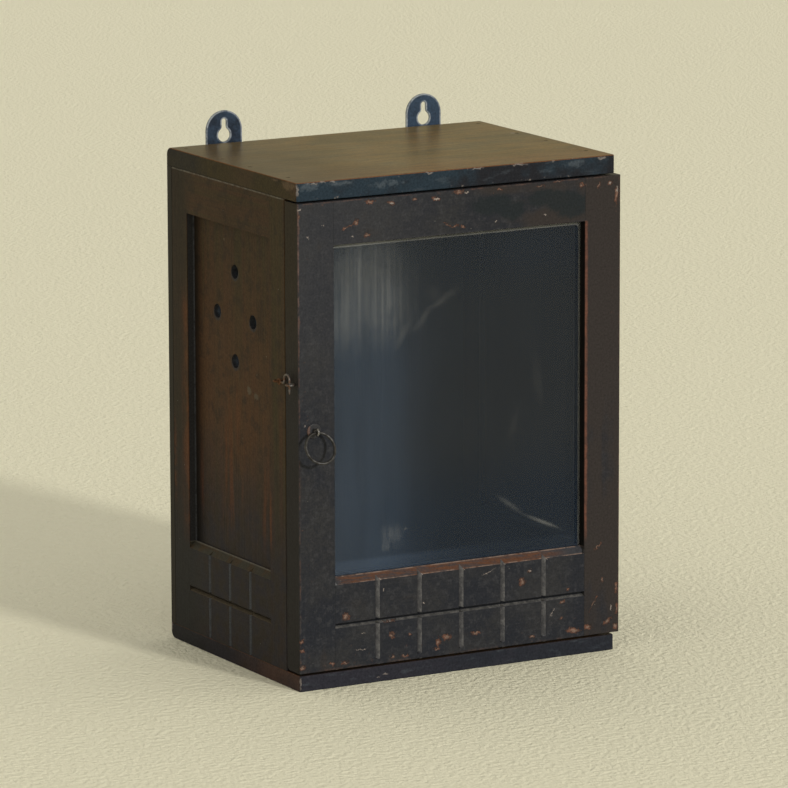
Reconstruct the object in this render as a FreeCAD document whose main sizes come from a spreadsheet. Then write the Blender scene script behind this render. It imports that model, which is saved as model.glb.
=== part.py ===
import FreeCAD, Part
import os
import re
import Sketcher
from FreeCAD import Placement, Rotation, Vector

# Wall-hung glazed cabinet, in millimetres and degrees.
# Every piece is drawn in the frame of the case: x from the middle, y from the wall with the
# front negative, z from the underside. Each placement then lowers the piece, so that the
# origin lies on the wall plane midway between the two hanging holes.

SIZES = {
    # Boards and back panel.
    "case_width": 328.5,
    "case_height": 460,
    "top_thick": 17,
    "top_depth": 248,
    "bottom_thick": 14.5,
    "bottom_proud": 1.5,
    "back_thick": 9,
    "back_round": 7,
    "corner_round": 2.5,
    "arris": 1,
    # Side frames.
    "frame_thick": 20,
    "side_stile": 29.5,
    "side_top_rail": 39,
    "side_bottom_rail": 84,
    "side_tiles": 4,
    "tenon_length": 12,
    "tenon_shoulder": 6,
    "panel_thick": 6,
    "panel_setback": 7.5,
    "panel_tongue": 6,
    "joint_fit": 0.1,
    "joint_play": 1,
    "vent_radius": 6.5,
    "vent_drop": 84,
    "vent_rise": 41,
    "vent_spread": 34,
    # Carving of the lower rails.
    "bevel": 6.5,
    "tile_groove": 5,
    "tile_groove_depth": 4,
    "lower_tile": 40,
    "groove_stop": 5,
    # Door.
    "door_thick": 24,
    "door_proud": 2,
    "door_gap": 1,
    "door_overhang": 5,
    "door_top_gap": 1.5,
    "door_bottom_gap": 2,
    "door_left_stile": 36,
    "door_right_stile": 37.25,
    "door_top_rail": 39.5,
    "door_bottom_rail": 84,
    "door_tiles": 6,
    "door_tenon": 20,
    "door_tenon_thick": 8,
    "heel_round": 5,
    "rebate": 8,
    "glass_setback": 9,
    "glass_thick": 3,
    "glass_play": 1,
    "bead_round": 5,
    # Hinges.
    "hinge_height": 48,
    "hinge_margin": 8,
    "hinge_offset": 3,
    "hinge_screws": 3,
    "leaf_width": 18,
    "leaf_thick": 1.4,
    "knuckles": 5,
    "knuckle_gap": 0.3,
    "pin_radius": 1.2,
    "pin_fit": 0.05,
    "pin_head_radius": 2,
    "pin_head": 1.5,
    "notch_clear": 0.5,
    # Nails and screws.
    "nail_radius": 1,
    "nail_length": 35,
    "nail_head_radius": 2,
    "nail_head": 1,
    "nail_inset": 11,
    "rail_nails": 2,
    "back_nails": 4,
    "back_nail_length": 24,
    "back_nail_margin": 30,
    "screw_radius": 1.2,
    "screw_head_radius": 2.4,
    "hinge_screw_length": 12,
    "hanger_screw_length": 20,
    "fastener_fit": 0.05,
    # Hanging plates.
    "hanger_width": 37,
    "hanger_thick": 2,
    "hanger_rise": 29.5,
    "hanger_foot": 24,
    "hanger_spacing": 211,
    "hanger_foot_round": 4,
    "hanger_screw_spread": 11,
    "hanger_screw_drop": 13,
    "key_head_rise": 6.8,
    "key_head_radius": 6.4,
    "key_slot_radius": 2.5,
    "key_slot_rise": 19.5,
    "key_flare": 4,
    # Ring pull.
    "pull_inset": 15,
    "pull_height": 237,
    "pull_standoff": 6,
    "pull_shank": 14,
    "pull_eye_radius": 3,
    "pull_wire": 1,
    "rosette_radius": 6.8,
    "rosette_thick": 1.2,
    "rosette_round": 0.8,
    "ring_radius": 14.25,
    "ring_wire": 1.25,
    "ring_seat": 0.15,
    "ring_tilt": 26,
    # Hook-and-eye latch.
    "latch_height": 279,
    "latch_standoff": 4.6,
    "latch_wire": 0.9,
    "latch_eye_radius": 3.2,
    "latch_shank": 12,
    "latch_case_inset": 6,
    "latch_door_inset": 8,
    "hook_loop_radius": 2.15,
    "hook_bend": 2.5,
    "hook_arch": 5,
    "hook_arch_rise": 3.5,
    "hook_drop": 5.5,
    "hook_tip": 3,
    "hook_tip_radius": 0.4,
    "hook_back": 0.5,
}

doc = FreeCAD.newDocument("Cabinet")
sheet = doc.addObject("Spreadsheet::Sheet", "dims")
for row, (name, value) in enumerate(SIZES.items(), 1):
    sheet.set(f"A{row}", name)
    sheet.set(f"B{row}", str(value))
    sheet.setAlias(f"B{row}", name)
doc.recompute()

nodes = []

# Levels and faces of the case and the door, as formulas of the sizes.
HANG_LINE = "(case_height + key_head_rise)"
UNDER_TOP = "(case_height - top_thick)"
BOTTOM_DEPTH = "(top_depth + bottom_proud)"
DOOR_FRONT = "(top_depth + door_proud)"
DOOR_BACK = f"({DOOR_FRONT} - door_thick)"
CASE_FRONT = f"({DOOR_BACK} - door_gap)"
DOOR_LEFT = "(-case_width/2)"
DOOR_RIGHT = "(case_width/2 + door_overhang)"
DOOR_LOW = "(bottom_thick + door_bottom_gap)"
DOOR_HIGH = f"({UNDER_TOP} - door_top_gap)"
WINDOW_LEFT = f"({DOOR_LEFT} + door_left_stile)"
WINDOW_RIGHT = f"({DOOR_RIGHT} - door_right_stile)"
WINDOW_LOW = f"({DOOR_LOW} + door_bottom_rail)"
WINDOW_HIGH = f"({DOOR_HIGH} - door_top_rail)"
RAIL_FRONT = f"({CASE_FRONT} - side_stile)"
RAIL_BACK = "(back_thick + side_stile)"
RAIL_LENGTH = f"({RAIL_FRONT} - {RAIL_BACK})"
LOW_RAIL_TOP = "(bottom_thick + side_bottom_rail)"
TOP_RAIL_LOW = f"({UNDER_TOP} - side_top_rail)"
PANEL_GROOVE = "(panel_tongue + joint_play)"


def formula(text):
    """The text with each size name turned into a reference to its cell."""
    return re.sub("[a-z_]+", lambda word: f"dims.{word[0]}" if word[0] in SIZES else word[0], text)


def number(text):
    """The value of a formula of size names."""
    filled = re.sub("[a-z_]+", lambda word: str(sheet.get(word[0])), text)
    return FreeCAD.Units.Quantity(filled).Value


def bind(thing, name, text):
    thing.setExpression(name, formula(text))


def keep(thing, label):
    """Name a finished piece and hang it from the line of the hanging holes."""
    thing.Label = label
    bind(thing, "Placement.Base.z", f"-{HANG_LINE}")
    nodes.append(thing)
    return thing


def new_body(label):
    return keep(doc.addObject("PartDesign::Body", label), label)


# Sketches on the planes of a body.

def pin_point(sketch, shape, point, place):
    """Hold one point of a sketch at a place given by two formulas."""
    for kind, axis, text in zip(("DistanceX", "DistanceY"), (-2, -1), place):
        if text == "0":
            sketch.addConstraint(Sketcher.Constraint("PointOnObject", shape, point, axis))
        else:
            rule = sketch.addConstraint(Sketcher.Constraint(kind, -1, 1, shape, point, number(text)))
            bind(sketch, f"Constraints[{rule}]", text)


def draw(body, plane, level, outline=(), circles=()):
    """A sketch parallel to an origin plane, holding one outline and any circles."""
    sketch = body.newObject("Sketcher::SketchObject", f"{body.Name}_sketch")
    support = next(item for item in body.Origin.OriginFeatures if item.Role == f"{plane}_Plane")
    sketch.AttachmentSupport = [(support, "")]
    sketch.MapMode = "FlatFace"
    facing = "-" if plane == "XZ" else ""
    bind(sketch, "AttachmentOffset.Base.z", f"{facing}({level})")
    corners = [Vector(number(a), number(b), 0) for a, b in outline]
    for start, end in zip(corners, corners[1:] + corners[:1]):
        sketch.addGeometry(Part.LineSegment(start, end))
    for line, place in enumerate(outline):
        before = (line - 1) % len(outline)
        sketch.addConstraint(Sketcher.Constraint("Coincident", before, 2, line, 1))
        pin_point(sketch, line, 1, place)
    for a, b, radius in circles:
        middle = Vector(number(a), number(b), 0)
        ring = sketch.addGeometry(Part.Circle(middle, Vector(0, 0, 1), number(radius)))
        pin_point(sketch, ring, 3, (a, b))
        rule = sketch.addConstraint(Sketcher.Constraint("Radius", ring, number(radius)))
        bind(sketch, f"Constraints[{rule}]", radius)
    return sketch


def pad(body, plane, level, length, **shapes):
    """Material that runs up, right or back from its sketch."""
    feature = body.newObject("PartDesign::Pad", f"{body.Name}_pad")
    feature.Profile = draw(body, plane, level, **shapes)
    feature.Reversed = plane == "XZ"
    bind(feature, "Length", length)
    body.Tip = feature
    return feature


def cut(body, plane, level, length, **shapes):
    """A cut that runs up, right or back from its sketch."""
    feature = body.newObject("PartDesign::Pocket", f"{body.Name}_cut")
    feature.Profile = draw(body, plane, level, **shapes)
    feature.Reversed = plane != "XZ"
    bind(feature, "Length", length)
    body.Tip = feature
    return feature


def rectangle(first, second):
    (left, right), (low, high) = first, second
    return [(left, low), (right, low), (right, high), (left, high)]


def block(body, x, y, z):
    return pad(body, "XY", z[0], f"{z[1]} - {z[0]}", outline=rectangle(x, y))


def hollow(body, x, y, z):
    return cut(body, "XY", z[0], f"{z[1]} - {z[0]}", outline=rectangle(x, y))


def repeat(body, feature, axis, pitch, count):
    """A row of copies of one feature along an axis of its body."""
    row = body.newObject("PartDesign::LinearPattern", f"{body.Name}_row")
    row.Originals = [feature]
    line = next(item for item in body.Origin.OriginFeatures if item.Role == f"{axis}_Axis")
    row.Direction = (line, [""])
    bind(row, "Length", f"{pitch}*({count} - 1)")
    bind(row, "Occurrences", count)
    body.Tip = row


def edges_between(shape, *sides):
    """The names of the edges that lie in all the named outer planes of a shape."""
    box = shape.BoundBox
    planes = {
        "left": ("x", box.XMin),
        "right": ("x", box.XMax),
        "front": ("y", box.YMin),
        "back": ("y", box.YMax),
        "bottom": ("z", box.ZMin),
        "top": ("z", box.ZMax),
    }
    near = 1e-4
    names = []
    for count, edge in enumerate(shape.Edges, 1):
        points = [edge.CenterOfMass] + [corner.Point for corner in edge.Vertexes]
        limits = [planes[side] for side in sides]
        if all(abs(getattr(point, axis) - at) < near for axis, at in limits for point in points):
            names.append(f"Edge{count}")
    return names


def fillet(body, radius, names):
    base = body.Tip
    feature = body.newObject("PartDesign::Fillet", f"{body.Name}_round")
    feature.Base = (base, names)
    bind(feature, "Radius", radius)
    body.Tip = feature


def soften(body, radius, *corners):
    """Round the edges where each pair of outer planes meets."""
    doc.recompute()
    shape = body.Tip.Shape
    fillet(body, radius, [name for sides in corners for name in edges_between(shape, *sides)])


def round_holes(shape, radius, axis, at):
    """The names of the full circles of a given radius that lie at one level of an axis."""
    near = 1e-4
    names = []
    for count, edge in enumerate(shape.Edges, 1):
        if not isinstance(edge.Curve, Part.Circle) or len(edge.Vertexes) != 1:
            continue
        level = getattr(edge.Curve.Center, axis)
        if abs(edge.Curve.Radius - radius) < near and abs(level - at) < near:
            names.append(f"Edge{count}")
    return names


def countersink(body, level):
    """Widen the screw holes of a plate on its face at one level of y."""
    doc.recompute()
    base = body.Tip
    radius = number("screw_radius + fastener_fit")
    feature = body.newObject("PartDesign::Chamfer", f"{body.Name}_sink")
    feature.Base = (base, round_holes(base.Shape, radius, "y", number(level)))
    bind(feature, "Size", "screw_head_radius - screw_radius")
    body.Tip = feature


# Round stock, turned pieces and groups of fasteners.

def solid(kind, name, sizes, at, turn):
    """A primitive solid with its sizes and its place given by formulas."""
    piece = doc.addObject(kind, name)
    for size, text in sizes.items():
        bind(piece, size, text)
    piece.Placement = Placement(Vector(), turn)
    for axis, text in zip("xyz", at):
        bind(piece, f"Placement.Base.{axis}", text)
    return piece


def toward(direction):
    return Rotation(Vector(0, 0, 1), direction)


def rod(radius, length, at, direction):
    return solid("Part::Cylinder", "rod", {"Radius": radius, "Height": length}, at, toward(direction))


def cone(radius, end_radius, length, at, direction):
    sizes = {"Radius1": radius, "Radius2": end_radius, "Height": length}
    return solid("Part::Cone", "cone", sizes, at, toward(direction))


def bend(radius, wire, sweep, at, start, onward):
    """Wire bent round a centre, from the start direction towards the onward direction."""
    turn = Rotation(start, onward, start.cross(onward), "ZXY")
    piece = solid("Part::Torus", "bend", {"Radius1": radius, "Radius2": wire}, at, turn)
    piece.Angle3 = sweep
    return piece


def fused(name, pieces):
    whole = doc.addObject("Part::MultiFuse", name)
    whole.Shapes = pieces
    return whole


def group(label, pieces):
    """Like fasteners kept together as one node of separate solids."""
    gathered = doc.addObject("Part::Compound", label)
    gathered.Links = pieces
    return keep(gathered, label)


def nail(length, at, direction):
    head = rod("nail_head_radius", "nail_head", at, direction)
    return fused("nail", [head, rod("nail_radius", length, at, direction)])


def screw(length, at, direction):
    head = cone("screw_head_radius", "screw_radius", "screw_head_radius - screw_radius", at, direction)
    return fused("screw", [head, rod("screw_radius", length, at, direction)])


LEFT, RIGHT = Vector(-1, 0, 0), Vector(1, 0, 0)
FRONT, BACK = Vector(0, -1, 0), Vector(0, 1, 0)
DOWN, UP = Vector(0, 0, -1), Vector(0, 0, 1)
SIDES = {"left": -1, "right": 1}
WHOLE_WIDTH = ("-case_width/2", "case_width/2")


# Nail places: through each board into the stiles and the rails between them.

def inward(sign, depth):
    """The x of a point at some depth below the outer face of a side frame."""
    return f"{sign}*(case_width/2 - ({depth}))"


BACK_STILE_NAIL = "-(back_thick + nail_inset)"
FRONT_STILE_NAIL = f"-({CASE_FRONT} - nail_inset)"
RAIL_NAILS = [
    f"-({RAIL_BACK} + {count + 1}*{RAIL_LENGTH}/(rail_nails + 1))"
    for count in range(SIZES["rail_nails"])
]
BOARD_NAILS = [
    (inward(sign, "frame_thick/2"), y)
    for sign in SIDES.values()
    for y in (BACK_STILE_NAIL, *RAIL_NAILS, FRONT_STILE_NAIL)
]
BACK_NAILS = [
    (
        inward(sign, "frame_thick/2"),
        f"bottom_thick + back_nail_margin + {count}*({UNDER_TOP} - bottom_thick"
        f" - 2*back_nail_margin)/(back_nails - 1)",
    )
    for sign in SIDES.values()
    for count in range(SIZES["back_nails"])
]
NAIL_HOLE = "nail_radius + fastener_fit"
NAIL_SINK = "nail_head_radius + fastener_fit"


def board_nail_holes(body, low, thick, head_level):
    cut(body, "XY", low, thick, circles=[(x, y, NAIL_HOLE) for x, y in BOARD_NAILS])
    cut(body, "XY", head_level, "nail_head", circles=[(x, y, NAIL_SINK) for x, y in BOARD_NAILS])


# Top and bottom boards, rounded on their outer back edge and eased all round.

HANGERS = {name: f"{sign}*hanger_spacing/2" for name, sign in SIDES.items()}
HANGER_LOW = "(case_height - hanger_foot)"
HANGER_SCREWS = [
    (f"{x} + {side}*hanger_screw_spread", "case_height - hanger_screw_drop")
    for x in HANGERS.values()
    for side in SIDES.values()
]
SCREW_HOLE = "screw_radius + fastener_fit"


def hanger_housing(body, high):
    """Room in a back edge for the two hanging plates."""
    for x in HANGERS.values():
        across = (f"{x} - hanger_width/2 - joint_fit", f"{x} + hanger_width/2 + joint_fit")
        hollow(body, across, ("-hanger_thick", "0"), (f"({HANGER_LOW} - joint_fit)", high))


def board(label, depth, low, high, outer):
    body = new_body(label)
    block(body, WHOLE_WIDTH, (f"-{depth}", "0"), (low, high))
    soften(body, "corner_round", ("left", "front"), ("right", "front"))
    soften(body, "back_round", ("back", outer))
    soften(body, "arris", ("front", "top"), ("front", "bottom"))
    return body


top_board = board("top_board", "top_depth", UNDER_TOP, "case_height", "top")
hanger_housing(top_board, "case_height")
cut(top_board, "XZ", "-hanger_screw_length", "hanger_screw_length",
    circles=[(x, z, SCREW_HOLE) for x, z in HANGER_SCREWS])
board_nail_holes(top_board, UNDER_TOP, "top_thick", "case_height - nail_head")

bottom_board = board("bottom_board", BOTTOM_DEPTH, "0", "bottom_thick", "bottom")
board_nail_holes(bottom_board, "0", "bottom_thick", "0")

back_panel = new_body("back_panel")
block(back_panel, WHOLE_WIDTH, ("-back_thick", "0"), ("bottom_thick", UNDER_TOP))
soften(back_panel, "arris", ("left", "back"), ("right", "back"))
hanger_housing(back_panel, UNDER_TOP)
cut(back_panel, "XZ", "-back_thick", "back_thick", circles=[(x, z, NAIL_HOLE) for x, z in BACK_NAILS])
cut(back_panel, "XZ", "-nail_head", "nail_head", circles=[(x, z, NAIL_SINK) for x, z in BACK_NAILS])

group("top_board_nails", [nail("nail_length", (x, y, "case_height"), DOWN) for x, y in BOARD_NAILS])
group("bottom_board_nails", [nail("nail_length", (x, y, "0"), UP) for x, y in BOARD_NAILS])
group("back_panel_nails", [nail("back_nail_length", (x, "0", z), FRONT) for x, z in BACK_NAILS])


# Side frames: grooved stiles and rails round a panel, with a carved rail below.

TOP_NAIL_DEPTH = "(nail_length - top_thick)"
BOTTOM_NAIL_DEPTH = "(nail_length - bottom_thick)"
BACK_NAIL_DEPTH = "(back_nail_length - back_thick)"
LOW_TENON = ("(bottom_thick + tenon_shoulder)", f"({LOW_RAIL_TOP} - {PANEL_GROOVE} - joint_fit)")
HIGH_TENON = (f"({TOP_RAIL_LOW} + {PANEL_GROOVE} + joint_fit)", f"({UNDER_TOP} - tenon_shoulder)")


def end_nail_holes(body, x, places, low=True, high=True):
    """Holes for the board nails in the lower and the upper end of a piece."""
    circles = [(x, y, NAIL_HOLE) for y in places]
    if low:
        cut(body, "XY", "bottom_thick", BOTTOM_NAIL_DEPTH, circles=circles)
    if high:
        cut(body, "XY", f"{UNDER_TOP} - {TOP_NAIL_DEPTH}", TOP_NAIL_DEPTH, circles=circles)


def side_stile(label, sign, y, edge, away):
    """A stile with its panel groove and two mortises, cut from its inner edge."""
    body = new_body(label)
    block(body, (inward(sign, "0"), inward(sign, "frame_thick")), y, ("bottom_thick", UNDER_TOP))
    outer = "left" if sign < 0 else "right"
    soften(body, "arris", (outer, "front" if away == "-" else "back"))
    slot = (
        inward(sign, "panel_setback - joint_fit"),
        inward(sign, "panel_setback + panel_thick + joint_fit"),
    )
    groove = (edge, f"{edge} {away} {PANEL_GROOVE}")
    hollow(body, slot, groove, (f"({LOW_RAIL_TOP} - {PANEL_GROOVE})", f"({TOP_RAIL_LOW} + {PANEL_GROOVE})"))
    for low, high in (LOW_TENON, HIGH_TENON):
        reach = (edge, f"{edge} {away} (tenon_length + joint_play)")
        hollow(body, slot, reach, (f"({low} - joint_fit)", f"({high} + joint_fit)"))
    return body


def side_rail(label, sign, z, tenon):
    """A rail whose tongues run into the mortises at both ends."""
    body = new_body(label)
    block(body, (inward(sign, "0"), inward(sign, "frame_thick")), (f"-{RAIL_FRONT}", f"-{RAIL_BACK}"), z)
    tongue = (inward(sign, "panel_setback"), inward(sign, "panel_setback + panel_thick"))
    block(body, tongue, (f"-{RAIL_FRONT} - tenon_length", f"-{RAIL_BACK} + tenon_length"), tenon)
    return body


def rail_groove(body, sign, z):
    slot = (
        inward(sign, "panel_setback - joint_fit"),
        inward(sign, "panel_setback + panel_thick + joint_fit"),
    )
    hollow(body, slot, (f"-{RAIL_FRONT}", f"-{RAIL_BACK}"), z)


def carve_side_rail(body, sign):
    """The bevel and the crossing V grooves on the outer face of a side rail."""
    face = inward(sign, "0")
    deep = inward(sign, "tile_groove_depth")
    slope = [
        (face, f"{LOW_RAIL_TOP} - bevel"),
        (face, LOW_RAIL_TOP),
        (inward(sign, "bevel"), LOW_RAIL_TOP),
    ]
    cut(body, "XZ", f"-{RAIL_FRONT}", RAIL_LENGTH, outline=slope)
    level = "bottom_thick + lower_tile"
    across = [(face, f"{level} - tile_groove/2"), (face, f"{level} + tile_groove/2"), (deep, level)]
    cut(body, "XZ", f"-{RAIL_FRONT}", RAIL_LENGTH, outline=across)
    pitch = f"({RAIL_LENGTH}/side_tiles)"
    first = f"-{RAIL_FRONT} + {pitch}"
    upright = [(face, f"{first} - tile_groove/2"), (face, f"{first} + tile_groove/2"), (deep, first)]
    groove = cut(body, "XY", "bottom_thick", "side_bottom_rail", outline=upright)
    repeat(body, groove, "Y", pitch, "(side_tiles - 1)")


def side_panel(label, sign):
    """A panel held in the grooves of its frame."""
    body = new_body(label)
    block(
        body,
        (inward(sign, "panel_setback"), inward(sign, "panel_setback + panel_thick")),
        (f"-{RAIL_FRONT} - panel_tongue", f"-{RAIL_BACK} + panel_tongue"),
        (f"({LOW_RAIL_TOP} - panel_tongue)", f"({TOP_RAIL_LOW} + panel_tongue)"),
    )
    return body


def vent_holes(body, sign):
    """Four holes in a diamond through a side panel."""
    middle = f"-({RAIL_FRONT} + {RAIL_BACK})/2"
    level = f"{TOP_RAIL_LOW} - vent_drop"
    vents = [
        (f"{middle} + vent_spread", level, "vent_radius"),
        (f"{middle} - vent_spread", level, "vent_radius"),
        (middle, f"{level} + vent_rise", "vent_radius"),
        (middle, f"{level} - vent_rise", "vent_radius"),
    ]
    cut(body, "YZ", inward(sign, "panel_setback"), "panel_thick", circles=vents)


# Hinge places, shared by the leaves, the recesses and the screws.
# The pin stands beside the case, behind the overhang of the door.

PIN_X = "(case_width/2 + hinge_offset)"
PIN_Y = f"-({CASE_FRONT} + door_gap/2)"
KNUCKLE_RADIUS = "(pin_radius + pin_fit + leaf_thick)"
HINGES = {
    "upper": (f"({WINDOW_HIGH} - hinge_margin - hinge_height)", f"({WINDOW_HIGH} - hinge_margin)"),
    "lower": (f"({WINDOW_LOW} + hinge_margin)", f"({WINDOW_LOW} + hinge_margin + hinge_height)"),
}
SCREW_X = f"({PIN_X} - leaf_width/2)"


def hinge_screw_levels(low):
    return [
        f"{low} + ({count} + 1/2)*hinge_height/hinge_screws"
        for count in range(SIZES["hinge_screws"])
    ]


def leaf_recess(body, outer, y, screw_level):
    """Let the leaves of both hinges into an edge or a face, with their screw holes."""
    for low, high in HINGES.values():
        across = (f"{PIN_X} - leaf_width - joint_fit", outer)
        hollow(body, across, y, (f"({low} - joint_fit)", f"({high} + joint_fit)"))
        holes = [(SCREW_X, z, SCREW_HOLE) for z in hinge_screw_levels(low)]
        cut(body, "XZ", screw_level, "hinge_screw_length", circles=holes)


LATCH_X = "-(case_width/2 + latch_standoff)"
CASE_EYE_Y = f"-({CASE_FRONT} - latch_case_inset)"
DOOR_EYE_Y = f"-({DOOR_FRONT} - latch_door_inset)"
SHANK_HOLE = "latch_wire + fastener_fit"

for name, sign in SIDES.items():
    middle = inward(sign, "frame_thick/2")

    edge = f"-{RAIL_BACK}"
    back_stile = side_stile(f"{name}_back_stile", sign, (edge, "-back_thick"), edge, "+")
    end_nail_holes(back_stile, middle, [BACK_STILE_NAIL])
    cut(back_stile, "XZ", "-back_nail_length", BACK_NAIL_DEPTH,
        circles=[(x, z, NAIL_HOLE) for x, z in BACK_NAILS if x == middle])

    edge = f"-{RAIL_FRONT}"
    front_stile = side_stile(f"{name}_front_stile", sign, (f"-{CASE_FRONT}", edge), edge, "-")
    end_nail_holes(front_stile, middle, [FRONT_STILE_NAIL])
    if name == "right":
        leaf_recess(front_stile, inward(sign, "0"), (f"-{CASE_FRONT}", f"-{CASE_FRONT} + leaf_thick"),
                    f"-{CASE_FRONT}")
    else:
        cut(front_stile, "YZ", inward(sign, "0"), "latch_shank",
            circles=[(CASE_EYE_Y, "latch_height", SHANK_HOLE)])

    top_rail = side_rail(f"{name}_top_rail", sign, (TOP_RAIL_LOW, UNDER_TOP), HIGH_TENON)
    rail_groove(top_rail, sign, (TOP_RAIL_LOW, f"({TOP_RAIL_LOW} + {PANEL_GROOVE})"))
    end_nail_holes(top_rail, middle, RAIL_NAILS, low=False)

    low_rail = side_rail(f"{name}_bottom_rail", sign, ("bottom_thick", LOW_RAIL_TOP), LOW_TENON)
    rail_groove(low_rail, sign, (f"({LOW_RAIL_TOP} - {PANEL_GROOVE})", LOW_RAIL_TOP))
    end_nail_holes(low_rail, middle, RAIL_NAILS, high=False)
    carve_side_rail(low_rail, sign)

    panel = side_panel(f"{name}_panel", sign)
    if name == "left":
        vent_holes(panel, sign)


# Hanging plates: an arched head with a keyhole, and a foot screwed to the top board.

for name, x in HANGERS.items():
    plate = new_body(f"{name}_hanger_plate")
    arch = "(case_height + hanger_rise - hanger_width/2)"
    width = (f"{x} - hanger_width/2", f"{x} + hanger_width/2")
    pad(plate, "XZ", "-hanger_thick", "hanger_thick", outline=rectangle(width, (HANGER_LOW, arch)))
    soften(plate, "hanger_foot_round", ("left", "bottom"), ("right", "bottom"))
    pad(plate, "XZ", "-hanger_thick", "hanger_thick", circles=[(x, arch, "hanger_width/2")])
    cut(plate, "XZ", "-hanger_thick", "hanger_thick", circles=[(x, HANG_LINE, "key_head_radius")])
    slot = (f"{x} - key_slot_radius", f"{x} + key_slot_radius")
    slot_top = "(case_height + key_slot_rise)"
    cut(plate, "XZ", "-hanger_thick", "hanger_thick", outline=rectangle(slot, (HANG_LINE, slot_top)))
    cut(plate, "XZ", "-hanger_thick", "hanger_thick", circles=[(x, slot_top, "key_slot_radius")])
    doc.recompute()
    shoulder = number(f"{HANG_LINE} + (key_head_radius^2 - key_slot_radius^2)^0.5")
    corners = [
        f"Edge{count}"
        for count, edge in enumerate(plate.Tip.Shape.Edges, 1)
        if abs(edge.CenterOfMass.z - shoulder) < number("joint_fit")
        and edge.BoundBox.YLength > number("hanger_thick/2")
    ]
    fillet(plate, "key_flare", corners)
    holes = [(a, b, SCREW_HOLE) for a, b in HANGER_SCREWS if a.startswith(x)]
    cut(plate, "XZ", "-hanger_thick", "hanger_thick", circles=holes)
    countersink(plate, "0")

group("hanger_screws", [screw("hanger_screw_length", (x, "0", z), FRONT) for x, z in HANGER_SCREWS])


# Door frame: stiles run through, tenoned rails between them, rebated behind for the glass.

DOOR_FACES = (f"-{DOOR_FRONT}", f"-{DOOR_BACK}")
REBATE_FRONT = f"({DOOR_FRONT} - glass_setback)"
REBATE_Y = (f"-{REBATE_FRONT}", f"-{DOOR_BACK}")
TENON_Y = (f"-{REBATE_FRONT}", f"-{REBATE_FRONT} + door_tenon_thick")
MORTISE_Y = (f"-{REBATE_FRONT} - joint_fit", f"-{REBATE_FRONT} + door_tenon_thick + joint_fit")
DOOR_TENONS = {
    "top": (f"({WINDOW_HIGH} + rebate + joint_fit)", f"({DOOR_HIGH} - tenon_shoulder)"),
    "bottom": (f"({DOOR_LOW} + tenon_shoulder)", f"({WINDOW_LOW} - rebate - joint_fit)"),
}
WINDOW = (WINDOW_LEFT, WINDOW_RIGHT)
WINDOW_WIDTH = f"({WINDOW_RIGHT} - {WINDOW_LEFT})"
PULL_X = f"({DOOR_LEFT} + pull_inset)"


def door_stile(label, outer, x, edge, away):
    body = new_body(label)
    block(body, x, DOOR_FACES, (DOOR_LOW, DOOR_HIGH))
    soften(body, "arris", (outer, "front"), ("front", "top"), ("front", "bottom"))
    soften(body, "heel_round", ("back", "bottom"))
    shelf = (f"({WINDOW_LOW} - rebate)", f"({WINDOW_HIGH} + rebate)")
    hollow(body, (edge, f"{edge} {away} rebate"), REBATE_Y, shelf)
    for low, high in DOOR_TENONS.values():
        reach = (edge, f"{edge} {away} (door_tenon + joint_play)")
        hollow(body, reach, MORTISE_Y, (f"({low} - joint_fit)", f"({high} + joint_fit)"))
    return body


def door_rail(label, place, z, shelf):
    body = new_body(label)
    block(body, WINDOW, DOOR_FACES, z)
    soften(body, "arris", ("front", place))
    block(body, (f"{WINDOW_LEFT} - door_tenon", f"{WINDOW_RIGHT} + door_tenon"), TENON_Y, DOOR_TENONS[place])
    hollow(body, WINDOW, REBATE_Y, shelf)
    return body


left_stile = door_stile("door_left_stile", "left", (DOOR_LEFT, WINDOW_LEFT), WINDOW_LEFT, "-")
cut(left_stile, "XZ", f"-{DOOR_FRONT}", "pull_shank",
    circles=[(PULL_X, "pull_height", "pull_wire + fastener_fit")])
cut(left_stile, "YZ", DOOR_LEFT, "latch_shank", circles=[(DOOR_EYE_Y, "latch_height", SHANK_HOLE)])

right_stile = door_stile("door_right_stile", "right", (WINDOW_RIGHT, DOOR_RIGHT), WINDOW_RIGHT, "+")
leaf_recess(right_stile, DOOR_RIGHT, (f"-{DOOR_BACK} - leaf_thick", f"-{DOOR_BACK}"),
            f"-{DOOR_BACK} - hinge_screw_length")
for low, high in HINGES.values():
    reach = "(pin_head + notch_clear)"
    cut(right_stile, "XY", f"{low} - {reach}", f"hinge_height + 2*{reach}",
        circles=[(PIN_X, PIN_Y, f"{KNUCKLE_RADIUS} + notch_clear")])

door_rail("door_top_rail", "top", (WINDOW_HIGH, DOOR_HIGH), (WINDOW_HIGH, f"({WINDOW_HIGH} + rebate)"))

carved = door_rail("door_bottom_rail", "bottom", (DOOR_LOW, WINDOW_LOW),
                   (f"({WINDOW_LOW} - rebate)", WINDOW_LOW))
face = f"-{DOOR_FRONT}"
deep = f"-{DOOR_FRONT} + tile_groove_depth"
slope = [(face, f"{WINDOW_LOW} - bevel"), (face, WINDOW_LOW), (f"{face} + bevel", WINDOW_LOW)]
cut(carved, "YZ", WINDOW_LEFT, WINDOW_WIDTH, outline=slope)
level = f"{DOOR_LOW} + lower_tile"
across = [(face, f"{level} - tile_groove/2"), (face, f"{level} + tile_groove/2"), (deep, level)]
cut(carved, "YZ", WINDOW_LEFT, WINDOW_WIDTH, outline=across)
pitch = f"({WINDOW_WIDTH}/door_tiles)"
first = f"{WINDOW_LEFT} + {pitch}"
upright = [(f"{first} - tile_groove/2", face), (f"{first} + tile_groove/2", face), (first, deep)]
groove = cut(carved, "XY", f"{DOOR_LOW} + groove_stop", "door_bottom_rail - groove_stop", outline=upright)
repeat(carved, groove, "X", pitch, "(door_tiles - 1)")


# Glass, and the mitred beads that hold it in the rebate.

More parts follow.
